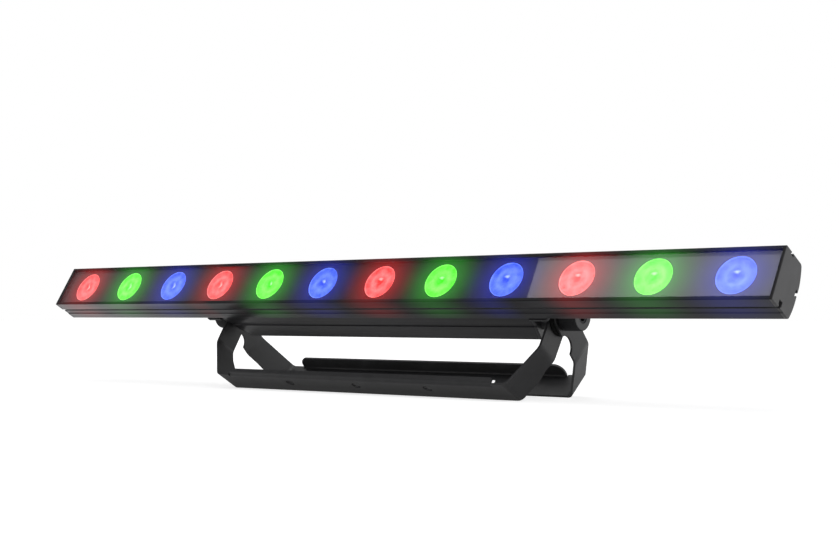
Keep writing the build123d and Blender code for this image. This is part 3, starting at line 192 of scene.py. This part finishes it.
def housing_finish(place):
    """Which finish a face of the extrusion has, by its place before the bar leans back."""
    if place.y < LIP_ROUND_BACK:
        return LIP
    if abs(place.y - SLOT_MIDDLE) < SLOT_HALF and RECESS_FLOOR < place.z < SLOT_CEILING:
        return IN_SLOT
    return PAINTED_HALO_SIDE if place.y < WINDOW_SEAT or place.z < RECESS_FLOOR else PLAIN


for face in housing.data.polygons:
    face.material_index = housing_finish(TO_BAR @ face.center)


# --- Driver case --------------------------------------------------------------------------------
# A second aluminium extrusion behind the housing, a tube that holds the power board. It is anodised
# as the housing is, a shade darker, and is screwed to the slot in the housing's back.
case_black = anodised("case_black_anodised", colour=(0.014, 0.014, 0.016), roughness=0.38)
case = dressed_copy("driver_case", 0.0003, case_black)


# --- End caps -----------------------------------------------------------------------------------
# Two plates that close the ends of the extrusion, die cast and sprayed matt black. They are held by
# pegs that press into the ports of the extrusion, so no screw shows.
def sprayed(name, colour, roughness, scale, depth, strength, specular=0.5):
    """A sprayed, powder-coated or moulded finish, with a fine peel of this scale and depth."""
    material = surface(name, colour, roughness, specular=specular)
    peel = grain(material, scale, detail=2.0)
    broad = grain(material, 55.0, detail=3.0)
    tone = spread(material, broad, 0.0, 1.0)
    lighter = tuple(part * 1.5 for part in colour)
    wire(material, "Base Color", blend_colours(material, tone, colour, lighter))
    wire(material, "Roughness", spread(material, peel, roughness - 0.06, roughness + 0.08))
    wire(material, "Normal", bumps(material, peel, strength, depth))
    return material


def from_bar(face):
    """Where a face is and which way it looks, before the bar leans back."""
    return TO_BAR @ face.center, TO_BAR.to_3x3() @ face.normal


cap_black = sprayed("cap_matt_black", (0.034, 0.034, 0.036), roughness=0.42,
                    scale=2600.0, depth=0.00005, strength=0.25)
cap_edge = sprayed("cap_edge_black", LIP_BLACK, LIP_ROUGHNESS,
                   scale=2600.0, depth=0.00005, strength=0.25, specular=LIP_SPECULAR)
FACES_SIDEWAYS = 0.5
for side in ("right", "left"):
    cap = dressed_copy(f"{side}_end_cap", 0.0002, cap_black, cap_edge)
    for face in cap.data.polygons:
        place, outwards = from_bar(face)
        on_front_edge = place.y < LIP_ROUND_BACK and abs(outwards.x) < FACES_SIDEWAYS
        face.material_index = 1 if on_front_edge else 0


# --- Lens mask ----------------------------------------------------------------------------------
# Black film on a sheet behind the window, punched for the lenses. Round each lens a soft halo of
# the lamp's colour is painted on the sheet, the lips and the underside of the housing, as painted
# light that glows there, and the sheet also carries an even painted haze.
LENS_PITCH = 0.083
LENS_COUNT = 12
LENS_ROW = BAR_PLACE.translation
LAMP_COLOURS = ((1.0, 0.01, 0.01), (0.03, 0.72, 0.02), (0.02, 0.04, 0.85))
MASK_HALO = 0.34            # emission strength of the painted halo on the sheet
# an even painted haze of glow on the sheet
MASK_PAINTED_HAZE = (0.030, 0.028, 0.030)
HOUSING_HALO = 0.16         # and on the lips and the underside
HALO_START = 0.019          # distances from the middle of a lens
HALO_END = 0.060
HALO_FALL = 2.3
SHADES = (-0.192, 0.243)    # painted shadows of the yokes' arms: places along the bar with no halo
SHADE_CORE = 0.014
SHADE_EDGE = 0.046


def lens_place(number):
    """Place of a lens along the bar."""
    return LENS_PITCH * (number - (LENS_COUNT - 1) / 2)


def maths(owner, operation, first, second=None):
    """Join two values, each a number or a node's output."""
    tree = owner.node_tree
    node = tree.nodes.new("ShaderNodeMath")
    node.operation = operation
    for socket, value in zip(node.inputs, (first, second)):
        if isinstance(value, float):
            socket.default_value = value
        elif value is not None:
            tree.links.new(value, socket)
    return node.outputs["Value"]


def painted_lamp_halo(material, strength, haze=(0.0, 0.0, 0.0), shaded=False):
    """Painted light in the lamp colours, fading away from each lens, over an even painted haze.

    A shaded finish gets none of it at the two places in SHADES: painted shadows of the yokes' arms.
    """
    nodes, links = material.node_tree.nodes, material.node_tree.links
    coordinates = nodes.new("ShaderNodeTexCoord")
    from_row = nodes.new("ShaderNodeVectorMath")
    from_row.operation = "SUBTRACT"
    links.new(coordinates.outputs["Object"], from_row.inputs[0])
    from_row.inputs[1].default_value = LENS_ROW
    split = nodes.new("ShaderNodeSeparateXYZ")
    links.new(from_row.outputs["Vector"], split.inputs["Vector"])
    along, deep, up = (split.outputs[axis] for axis in "XYZ")
    off_row = maths(material, "ADD", maths(material, "MULTIPLY", deep, deep),
                    maths(material, "MULTIPLY", up, up))
    half_turn = LENS_PITCH * len(LAMP_COLOURS) / 2
    light = None
    for index, colour in enumerate(LAMP_COLOURS):
        past_first = maths(material, "SUBTRACT", along, lens_place(index))
        to_nearest = maths(material, "PINGPONG", past_first, half_turn)
        squares = maths(material, "ADD", maths(material, "MULTIPLY", to_nearest, to_nearest),
                        off_row)
        near = spread(material, maths(material, "SQRT", squares), 1.0, 0.0, HALO_START, HALO_END)
        reach = maths(material, "POWER", near, HALO_FALL)
        if index == 0:      # the row ends with blue, so no red follows it
            before_end = maths(material, "LESS_THAN", along, lens_place(LENS_COUNT - 1))
            reach = maths(material, "MULTIPLY", reach, before_end)
        if index == 2:      # and starts with red, so no blue comes before
            after_start = maths(material, "GREATER_THAN", along, lens_place(0))
            reach = maths(material, "MULTIPLY", reach, after_start)
        added = nodes.new("ShaderNodeVectorMath")
        added.operation = "MULTIPLY_ADD"
        added.inputs[0].default_value = colour
        links.new(reach, added.inputs[1])
        if light is None:
            added.inputs[2].default_value = haze
        else:
            links.new(light, added.inputs[2])
        light = added.outputs["Vector"]
    wire(material, "Emission Color", light)
    nodes["Principled BSDF"].inputs["Emission Strength"].default_value = strength
    # painted shadow: the halo is taken out at the two places in SHADES, near the yokes' arms
    if shaded:
        left, right = (
            spread(material, maths(material, "ABSOLUTE", maths(material, "SUBTRACT", along, place)),
                   0.0, strength, SHADE_CORE, SHADE_EDGE) for place in SHADES)
        wire(material, "Emission Strength", maths(material, "MINIMUM", left, right))


def finish_nodes(material, slot, *names):
    """Give a material to solids that show as they are."""
    for name in names:
        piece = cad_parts[name]
        piece.data.materials.clear()
        piece.data.materials.append(material)


mask_black_painted_halo = sprayed("mask_black_painted_halo_film", (0.012, 0.012, 0.013), roughness=0.5,
                     scale=5000.0, depth=0.00002, strength=0.1)
painted_lamp_halo(mask_black_painted_halo, MASK_HALO, MASK_PAINTED_HAZE)
finish_nodes(mask_black_painted_halo, "black_mask", "lens_mask")
# painted light: the lamps' halo is painted on the lips and the underside too
for finish in (lip_black_painted_halo, under_black_painted_halo):
    painted_lamp_halo(finish, HOUSING_HALO, shaded=True)


# --- Front window -------------------------------------------------------------------------------
# A strip of clear acrylic, slid in from the end. Its edges run in grooves behind the lips, and its
# thicker middle stands up between them. It is glossy, with a trace of haze, and its ends and the
# sides of its middle are painted black.
WINDOW_HALF = 0.4969
WINDOW_SECTION = ((0.0025, 0.0244), (0.0, 0.0244), (0.0, 0.0229), (-0.0022, 0.0229),
                  (-0.0022, -0.0240), (0.0, -0.0240), (0.0, -0.0255), (0.0025, -0.0255))
SQUARE_ON = 0.9             # a face that looks this much along an axis lies across it


def mesh_of(shape, name):
    """The mesh of a finished shape."""
    mesh = bpy.data.meshes.new(name)
    shape.to_mesh(mesh)
    shape.free()
    return mesh


def window_shape():
    """The window's section, drawn out along the bar and leant back with it."""
    shape = bmesh.new()
    corners = [shape.verts.new((-WINDOW_HALF, depth, height)) for depth, height in WINDOW_SECTION]
    drawn = bmesh.ops.extrude_face_region(shape, geom=[shape.faces.new(corners)])
    far_end = [part for part in drawn["geom"] if isinstance(part, bmesh.types.BMVert)]
    bmesh.ops.translate(shape, vec=(2 * WINDOW_HALF, 0.0, 0.0), verts=far_end)
    bmesh.ops.recalc_face_normals(shape, faces=shape.faces)
    bmesh.ops.transform(shape, matrix=BAR_PLACE, verts=shape.verts)
    return shape


window_clear = surface("window_clear_acrylic", (0.97, 0.97, 0.98), roughness=0.0)
window_shader = window_clear.node_tree.nodes["Principled BSDF"]
window_shader.inputs["Transmission Weight"].default_value = 1.0
window_shader.inputs["IOR"].default_value = 1.45
swirls = grain(window_clear, 700.0, detail=2.0)
wire(window_clear, "Roughness", spread(window_clear, swirls, 0.0, 0.012, start=0.5, end=0.8))
window = put_in_scene("window_strip", mesh_of(window_shape(), "window_strip"))
window.data.materials.append(window_clear)
window.data.materials.append(mask_black_painted_halo)
for face in window.data.polygons:
    place, outwards = from_bar(face)
    on_side_of_middle = place.y < 0.0 and abs(outwards.z) > SQUARE_ON
    face.material_index = 1 if abs(outwards.x) > SQUARE_ON or on_side_of_middle else 0
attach(window, "bar")
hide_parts("front_window")


# --- Lenses -------------------------------------------------------------------------------------
# Twelve moulded collimator lenses, four of each lamp colour. Each has a printed black edge, a
# pebbled front face in shallow rings and a dimple in the middle, over a polished cone down to its
# emitter. The glint over each dimple is a painted highlight.
LENS_RADIUS = 0.020
LENS_FACE = 0.0194          # outside this radius the face is printed black
PRINTED_DEPTH = 0.0041      # and down to this depth
LENS_STEPS = 72
LENS_PROFILE = (            # radius, and depth behind the window's plane
    (0.0, 0.0046), (0.0012, 0.0045), (0.0026, 0.0040), (0.0034, 0.0032), (0.0040, 0.0030),
    (0.0060, 0.0031), (0.0062, 0.00335), (0.0095, 0.0033), (0.0125, 0.0034), (0.0128, 0.0036),
    (0.0160, 0.0036), (0.0178, 0.0038), (0.0184, 0.0036), (0.0187, 0.0030), (0.0190, 0.0028),
    (LENS_FACE, 0.0028), (0.0199, 0.0029), (LENS_RADIUS, PRINTED_DEPTH), (0.0155, 0.0042),
    (0.0120, 0.0085), (0.0056, 0.0148), (0.0, 0.0149))
FACE_LEVELS = (             # part of the radius, and how pale the lit face is there
    (0.0, 0.10), (0.13, 0.10), (0.24, 0.34), (0.38, 0.55), (0.50, 0.74), (0.60, 0.64),
    (0.72, 0.42), (0.86, 0.36), (0.915, 0.34), (0.945, 0.85), (0.985, 0.20))
PEBBLE_SCALE = 900.0
LEFT_LENSES = 4             # the glint is alike on these, then climbs over a few lenses
CLIMBING_LENSES = 3
LEFT_GLINT = (0.0003, 0.0001, 0.0023, 0.0043)   # across, up, half its width, half its height
LOW_GLINT = (0.0009, 0.0, 0.0013, 0.0026)
HIGH_GLINT = (0.0, 0.0036, 0.0032, 0.0015)


def lens_shape():
    """One lens about its own axis: X across, Y behind the face, Z up."""
    shape = bmesh.new()
    rim = [shape.verts.new((radius, depth, 0.0)) for radius, depth in LENS_PROFILE]
    line = [shape.edges.new(pair) for pair in zip(rim, rim[1:])]
    bmesh.ops.spin(shape, geom=rim + line, cent=(0, 0, 0), axis=(0, 1, 0), angle=2 * math.pi,
                   steps=LENS_STEPS, use_merge=True)
    bmesh.ops.remove_doubles(shape, verts=shape.verts, dist=SAME_POINT)
    bmesh.ops.recalc_face_normals(shape, faces=shape.faces)
    return shape


def glint_place(number):
    """Place of the painted glint over a lens's dimple, and half its width and height."""
    if number < LEFT_LENSES:
        return LEFT_GLINT
    climb = min((number - LEFT_LENSES + 1) / CLIMBING_LENSES, 1.0)
    return [low + (high - low) * climb for low, high in zip(LOW_GLINT, HIGH_GLINT)]


def lens_mesh(number):
    """The lens shape with a map of its face and a map of its glint."""
    shape = lens_shape()
    across, up, half_width, half_height = glint_place(number)
    face_map = shape.loops.layers.uv.new("face")
    glint_map = shape.loops.layers.uv.new("glint")
    for face in shape.faces:
        face.smooth = True
        middle = face.calc_center_median()
        printed = math.hypot(middle.x, middle.z) > LENS_FACE and middle.y < PRINTED_DEPTH
        face.material_index = 1 if printed else 0
        for loop in face.loops:
            place = loop.vert.co
            loop[face_map].uv = (place.x / LENS_RADIUS, place.z / LENS_RADIUS)
            loop[glint_map].uv = ((place.x - across) / half_width, (place.z - up) / half_height)
    return mesh_of(shape, f"lens_{number + 1:02d}_shape")


def map_place(material, map_name):
    """A place on one of the lens's maps, and its distance from the map's middle."""
    nodes = material.node_tree.nodes
    chart = nodes.new("ShaderNodeUVMap")
    chart.uv_map = map_name
    length = nodes.new("ShaderNodeVectorMath")
    length.operation = "LENGTH"
    material.node_tree.links.new(chart.outputs["UV"], length.inputs[0])
    return chart.outputs["UV"], length.outputs["Value"]


def ring_levels(material, distance):
    """How pale the lit face is, by the distance from its middle."""
    rings = material.node_tree.nodes.new("ShaderNodeValToRGB")
    stops = rings.color_ramp
    stops.interpolation = "CARDINAL"
    for stop, (place, level) in zip(stops.elements, (FACE_LEVELS[0], FACE_LEVELS[-1])):
        stop.position = place
        stop.color = (level, level, level, 1.0)
    for place, level in FACE_LEVELS[1:-1]:
        stops.elements.new(place).color = (level, level, level, 1.0)
    material.node_tree.links.new(distance, rings.inputs["Fac"])
    return rings.outputs["Color"]


def lamp_lit(name, rich, pale, glare):
    """Lit lens: deep middle, bright band round it, pebbles, thin rim, painted glint over the
    dimple.
    """
    material = surface(name, rich, roughness=0.25, specular=0.35)
    nodes, links = material.node_tree.nodes, material.node_tree.links
    place, distance = map_place(material, "face")
    halves = nodes.new("ShaderNodeSeparateXYZ")
    links.new(place, halves.inputs["Vector"])
    low_glow = spread(material, halves.outputs["Y"], 0.13, -0.07, start=-0.9, end=0.7)
    clouds = spread(material, grain(material, 140.0, detail=2.0), -0.24, 0.24)
    pebbles = spread(material, grain(material, PEBBLE_SCALE, detail=1.0), -0.07, 0.07)
    level = maths(material, "ADD",
                  maths(material, "ADD", ring_levels(material, distance), low_glow),
                  maths(material, "ADD", clouds, pebbles))
    glint = spread(material, map_place(material, "glint")[1], 0.95, 0.0, start=0.2, end=1.25)
    topped = nodes.new("ShaderNodeMix")
    topped.data_type = "RGBA"
    topped.clamp_factor = True
    links.new(glint, topped.inputs["Factor"])
    links.new(blend_colours(material, level, rich, pale), topped.inputs["A"])
    topped.inputs["B"].default_value = (*glare, 1.0)
    wire(material, "Emission Color", topped.outputs["Result"])
    nodes["Principled BSDF"].inputs["Emission Strength"].default_value = 1.0
    relief = grain(material, PEBBLE_SCALE, detail=1.0)
    wire(material, "Normal", bumps(material, relief, strength=0.4, distance=0.0003))
    return material


lens_finishes = (
    lamp_lit("lens_lit_red", (0.96, 0.035, 0.035), (1.0, 0.315, 0.315), (1.0, 0.62, 0.60)),
    lamp_lit("lens_lit_green", (0.05, 0.97, 0.01), (0.37, 1.0, 0.215), (0.70, 1.0, 0.60)),
    lamp_lit("lens_lit_blue", (0.03, 0.075, 0.97), (0.22, 0.36, 1.0), (0.62, 0.80, 1.0)))
for number in range(LENS_COUNT):
    node = f"lens_{number + 1:02d}"
    lens = put_in_scene(f"{node}_dressed", lens_mesh(number))
    lens.data.transform(BAR_PLACE @ Matrix.Translation((lens_place(number), 0.0, 0.0)))
    lens.data.materials.append(lens_finishes[number % 3])
    lens.data.materials.append(mask_black_painted_halo)
    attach(lens, "bar")
    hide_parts(node)


# --- Lens holders and lamp boards ---------------------------------------------------------------
# Behind the window, out of sight: black spacers round the lenses, two long boards with a solder
# mask over bare copper, an emitter with a clear dome for each lens, and zinc-plated screws.
BOARD_GREEN = (0.02, 0.12, 0.05)
PALER_GREEN = (0.025, 0.15, 0.06)
TRACK_GREEN = (0.05, 0.22, 0.09)
ZINC = (0.62, 0.63, 0.66)


def board_finish(name):
    """Green solder mask, with the tracks under it paler and a little raised."""
    material = surface(name, BOARD_GREEN, roughness=0.35)
    nodes, links = material.node_tree.nodes, material.node_tree.links
    tracks = nodes.new("ShaderNodeTexBrick")
    tracks.inputs["Scale"].default_value = 260.0
    tracks.inputs["Mortar Size"].default_value = 0.04
    tracks.inputs["Color1"].default_value = (*BOARD_GREEN, 1.0)
    tracks.inputs["Color2"].default_value = (*PALER_GREEN, 1.0)
    tracks.inputs["Mortar"].default_value = (*TRACK_GREEN, 1.0)
    coordinates = nodes.new("ShaderNodeTexCoord")
    links.new(coordinates.outputs["Object"], tracks.inputs["Vector"])
    wire(material, "Base Color", tracks.outputs["Color"])
    wire(material, "Normal",
         bumps(material, tracks.outputs["Fac"], strength=0.2, distance=0.00003))
    return material


def plated(name, colour, roughness):
    """Plated or turned steel, a little uneven."""
    material = surface(name, colour, roughness, metallic=1.0)
    uneven = grain(material, 900.0, detail=3.0)
    wire(material, "Roughness", spread(material, uneven, roughness - 0.07, roughness + 0.1))
    darker = tuple(part * 0.8 for part in colour)
    wire(material, "Base Color",
         blend_colours(material, grain(material, 160.0), darker, colour))
    wire(material, "Normal", bumps(material, uneven, strength=0.1, distance=0.00003))
    return material


board_green = board_finish("board_green_mask")
finish_nodes(board_green, "circuit_board",
             "left_led_board", "right_led_board", "control_board", "power_board")
holder_black = sprayed("holder_black_plastic", (0.02, 0.02, 0.02), roughness=0.5,
                       scale=3500.0, depth=0.00003, strength=0.2)
finish_nodes(holder_black, "lens_holder", "lens_holders")
emitter_amber = sprayed("emitter_clear_dome", (0.8, 0.75, 0.5), roughness=0.15,
                        scale=900.0, depth=0.00002, strength=0.1)
finish_nodes(emitter_amber, "emitter", "led_emitters")
zinc = plated("zinc_plated_steel", ZINC, roughness=0.3)
finish_nodes(zinc, "zinc_screw", "board_screws", "case_nuts", "case_screws", "board_pillars")


# --- Cast ends of the driver case ---------------------------------------------------------------
# Two hollow die castings close the ends of the driver case. Each is raked back from the housing,
# with a round boss for the pivot and a foot that is screwed to the housing's back.
cast_black = sprayed("cast_end_black", (0.02, 0.02, 0.022), roughness=0.46,
                     scale=1500.0, depth=0.0001, strength=0.35)
for side in ("right", "left"):
    end = dressed_copy(f"{side}_driver_end", 0.0004, cast_black)
screw_black = plated("screw_blackened", (0.05, 0.05, 0.055), roughness=0.32)
finish_nodes(screw_black, "black_screw", "driver_end_screws")


# --- Pivot bushes, washers and friction discs ---------------------------------------------------
# Dark turned steel bushes carry both yokes. A fibre washer and a wider friction disc lie between
# the faces that turn, so that the bar stays where it is put.
# painted shade in part: the bushes are darkened for the shade in the gap between the arms
pivot_steel = plated("turned_pivot_steel", (0.10, 0.10, 0.105), roughness=0.34)
finish_nodes(pivot_steel, "pivot_steel", "pivot_bushes")
# painted shade in part: the fibre is near black for the deep shade between the arms
fibre = sprayed("friction_fibre", (0.004, 0.004, 0.004), roughness=0.8,
                scale=2200.0, depth=0.0001, strength=0.5, specular=0.15)
for node in ("inner_washers", "friction_discs"):
    discs = dressed_copy(node, 0.0002, fibre)


# --- Clamp knobs --------------------------------------------------------------------------------
# A plain round knob of black nylon at each pivot, moulded round the cap head of a blackened stud
# whose hexagon socket lies just below the knob's face. Its grip is duller than its face and darker,
# as painted shade on the knob's side, and a blackened washer takes its thrust.
KNOB_FACE_DEPTH = 0.0003
knob_black = sprayed("knob_black_nylon", (0.030, 0.030, 0.032), roughness=0.38,
                     scale=2400.0, depth=0.00006, strength=0.3)
# painted shade: the grip's darker colour stands for the shade on the knob's side
knob_grip_painted_shade = sprayed("knob_grip_painted_shade_dull", (0.008, 0.008, 0.009), roughness=0.6,
                    scale=1800.0, depth=0.0001, strength=0.4, specular=0.25)
stud_black = plated("stud_blackened", (0.035, 0.035, 0.038), roughness=0.42)
washer_black = plated("washer_blackened", (0.09, 0.09, 0.095), roughness=0.35)
for side in ("right", "left"):
    knob = dressed_copy(f"{side}_clamp_knob", 0.0003, knob_black, knob_grip_painted_shade, body=f"{side}_knob")
    knob_end = max(abs(vertex.co.x) for vertex in knob.data.vertices)
    for face in knob.data.polygons:
        on_face = abs(face.center.x) > knob_end - KNOB_FACE_DEPTH
        face.material_index = 0 if on_face else 1
    washer = dressed_copy(f"{side}_clamp_washer", 0.0002, washer_black, body=f"{side}_clamp")
    stud = dressed_copy(f"{side}_clamp_stud", 0.0002, stud_black, body=f"{side}_knob")


# --- Floor yokes --------------------------------------------------------------------------------
# Two strips of 2.5 mm steel, each bent into a wide U with a fold in either arm and a flange turned
# up along one edge of its base. They are powder coated black, with a fine orange peel.
yoke_black = sprayed("yoke_powder_coat", (0.019, 0.019, 0.020), roughness=0.42,
                     scale=1700.0, depth=0.00006, strength=0.3)
for side in ("front", "rear"):
    yoke = dressed_copy(f"{side}_yoke", 0.0004, yoke_black, body=f"{side}_yoke", segments=3)


# --- Control panel ------------------------------------------------------------------------------
# On the back of the driver case: a black plate with a smoked cover over the display and four rubber
# buttons in a row.
plate_black = sprayed("plate_satin_black", (0.018, 0.018, 0.02), roughness=0.33,
                      scale=3200.0, depth=0.00003, strength=0.2)
plate = dressed_copy("control_plate", 0.0003, plate_black)
smoked = surface("display_smoked_cover", (0.02, 0.025, 0.03), roughness=0.06)
wire(smoked, "Roughness", spread(smoked, grain(smoked, 800.0), 0.03, 0.1))
display = dressed_copy("display_window", 0.0003, smoked)
rubber_black = sprayed("button_rubber", (0.085, 0.085, 0.09), roughness=0.6,
                       scale=2600.0, depth=0.00005, strength=0.3)
for node in ("menu_button", "down_button", "up_button", "enter_button"):
    button = dressed_copy(node, 0.0002, rubber_black, body=node)


# --- Sockets and fuse ---------------------------------------------------------------------------
# Black moulded mains inlet and outlet, a fuse holder with its cap, and two round data sockets, one
# with a latch, plated in black zinc.
socket_black = sprayed("socket_black_plastic", (0.018, 0.018, 0.019), roughness=0.42,
                       scale=2800.0, depth=0.00004, strength=0.25)
for node in ("power_inlet", "power_outlet", "fuse_holder", "fuse_cap"):
    body = "fuse_cap" if node == "fuse_cap" else "bar"
    socket = dressed_copy(node, 0.0003, socket_black, body=body)
socket_zinc = plated("socket_black_zinc", (0.06, 0.06, 0.065), roughness=0.32)
for node in ("data_inlet", "data_outlet", "data_latch"):
    body = "data_latch" if node == "data_latch" else "bar"
    socket = dressed_copy(node, 0.0003, socket_zinc, body=body)


# --- Safety loop --------------------------------------------------------------------------------
# A bent steel rod through the back of the driver case, blackened, and held by a round foot on each
# end inside it. A safety cable goes through it when the bar is hung.
loop_black = plated("loop_blackened", (0.07, 0.07, 0.075), roughness=0.34)
loop = dressed_copy("safety_loop", 0.0001, loop_black)


# --- Electronics in the driver case -------------------------------------------------------------
# Out of sight in the closed case: a wound transformer under yellow tape, three capacitors in shrunk
# sleeves, and the lead to the lamp boards in its rubber grommet.
tape = sprayed("winding_tape", (0.5, 0.36, 0.05), roughness=0.4,
               scale=400.0, depth=0.00005, strength=0.3)
finish_nodes(tape, "winding", "power_transformer")
sleeve = sprayed("capacitor_sleeve", (0.02, 0.03, 0.09), roughness=0.25,
                 scale=700.0, depth=0.00003, strength=0.2)
finish_nodes(sleeve, "capacitor_sleeve", "power_capacitors")
jacket = sprayed("lead_jacket", (0.02, 0.02, 0.02), roughness=0.5,
                 scale=1500.0, depth=0.00005, strength=0.3)
finish_nodes(jacket, "lead_jacket", "lamp_lead")
finish_nodes(rubber_black, "grommet_rubber", "lead_grommet")


# --- Floor --------------------------------------------------------------------------------------
# A pale, matt studio floor. It keeps the object's soft shadow near it, and is lifted to white
# further out, both to the eye and where the black metal mirrors it.
FLOOR_HALF = 14.0
WHITE = (1.0, 1.0, 1.0, 1.0)
floor_shape = bmesh.new()
bmesh.ops.create_grid(floor_shape, x_segments=2, y_segments=2, size=FLOOR_HALF)
floor = put_in_scene("studio_floor", mesh_of(floor_shape, "studio_floor"))
floor_pale = surface("floor_pale_matt", (0.62, 0.62, 0.62), roughness=0.9, specular=0.1)
floor_nodes, floor_links = floor_pale.node_tree.nodes, floor_pale.node_tree.links
floor_place = floor_nodes.new("ShaderNodeTexCoord")
from_middle = floor_nodes.new("ShaderNodeVectorMath")
from_middle.operation = "LENGTH"
floor_links.new(floor_place.outputs["Object"], from_middle.inputs[0])


def ray_kinds(owner):
    """Whether a ray comes from the camera, and whether it is mirrored or let through."""
    paths = owner.node_tree.nodes.new("ShaderNodeLightPath")
    mirrored = maths(owner, "MAXIMUM",
                     paths.outputs["Is Glossy Ray"], paths.outputs["Is Transmission Ray"])
    return paths.outputs["Is Camera Ray"], mirrored


seen, mirrored = ray_kinds(floor_pale)
distance = from_middle.outputs["Value"]
seen_lift = maths(floor_pale, "MULTIPLY", seen,
                  spread(floor_pale, distance, 0.72, 1.0, start=0.6, end=1.3))
mirrored_lift = maths(floor_pale, "MULTIPLY", mirrored,
                      spread(floor_pale, distance, 0.20, 1.0, start=0.38, end=0.72))
wire(floor_pale, "Emission Strength", maths(floor_pale, "MAXIMUM", seen_lift, mirrored_lift))
floor_nodes["Principled BSDF"].inputs["Emission Color"].default_value = WHITE
floor.data.materials.append(floor_pale)


# --- Studio light -------------------------------------------------------------------------------
# A wide soft box hangs over the bar, and the right end of the window mirrors its edge. The room is
# plain white to the eye. It lights the bar from pale walls at the right and the back and a dim
# front, and what mirrors it also shows a dim wall at the left and a white ceiling at the back.
soft_box_data = bpy.data.lights.new("overhead_soft_box", "AREA")
soft_box_data.shape = "RECTANGLE"
soft_box_data.size = 2.76
soft_box_data.size_y = 2.4
soft_box_data.energy = 30.0
soft_box_data.color = (0.98, 0.98, 1.0)
soft_box = put_in_scene("overhead_soft_box", soft_box_data)
soft_box.location = (0.188, -1.147, 2.12)
soft_box.rotation_euler = (0.0, 0.0, math.radians(-34.8))

room = bpy.data.worlds.new("studio_room")
room.use_nodes = True
bpy.context.scene.world = room
room_nodes, room_links = room.node_tree.nodes, room.node_tree.links
ways = room_nodes.new("ShaderNodeTexCoord")
way = room_nodes.new("ShaderNodeSeparateXYZ")
room_links.new(ways.outputs["Generated"], way.inputs["Vector"])
to_right, to_back, upwards = (way.outputs[axis] for axis in "XYZ")


def room_part(sideways, height):
    """A part of the room, bright by its side and its height.

    Each is a way to look, its levels at the start and the end, and where those two are.
    """
    return maths(room, "MULTIPLY", spread(room, *sideways), spread(room, *height))


right_wall = room_part((to_right, 0.0, 0.9, 0.0, 0.6), (upwards, 1.0, 0.1, 0.6, 0.9))
back_wall = room_part((to_back, 0.0, 1.0, -0.25, 0.35), (upwards, 1.0, 0.15, 0.05, 0.3))
front_room = room_part((to_back, 1.0, 0.0, -0.25, 0.35), (upwards, 0.62, 0.06, 0.10, 0.45))
back_ceiling = room_part((to_back, 0.0, 1.0, -0.06, 0.04), (upwards, 0.0, 1.0, 0.5, 0.66))
left_wall = spread(room, to_right, 0.0, 0.40, start=-0.66, end=-0.84)
room_light = maths(room, "MAXIMUM", right_wall, maths(room, "ADD", back_wall, front_room))
walls = maths(room, "MAXIMUM", right_wall, back_wall)
mirrored_room = maths(room, "MAXIMUM", walls, maths(room, "MAXIMUM", left_wall, back_ceiling))
seen, mirrored = ray_kinds(room)
shown_room = maths(room, "MAXIMUM", seen, maths(room, "MULTIPLY", mirrored, mirrored_room))
backdrop = room_nodes["Background"]
room_links.new(maths(room, "MAXIMUM", room_light, shown_room), backdrop.inputs["Strength"])
backdrop.inputs["Color"].default_value = WHITE


# --- Camera -------------------------------------------------------------------------------------
# Low and to the right of the bar, a little under the height of its lenses, looking very slightly
# up, with a short long-focus lens.
camera_data = bpy.data.cameras.new("studio_camera")
camera_data.sensor_width = 36.0
camera_data.lens = 63.85
camera_data.clip_end = 50.0
camera = put_in_scene("studio_camera", camera_data)
camera.location = (1.0886, -1.19951, 0.08461)
camera.rotation_euler = (math.radians(90.0 + 1.834), 0.0, math.radians(40.89))
bpy.context.scene.camera = camera
bpy.context.scene.view_settings.view_transform = "Standard"
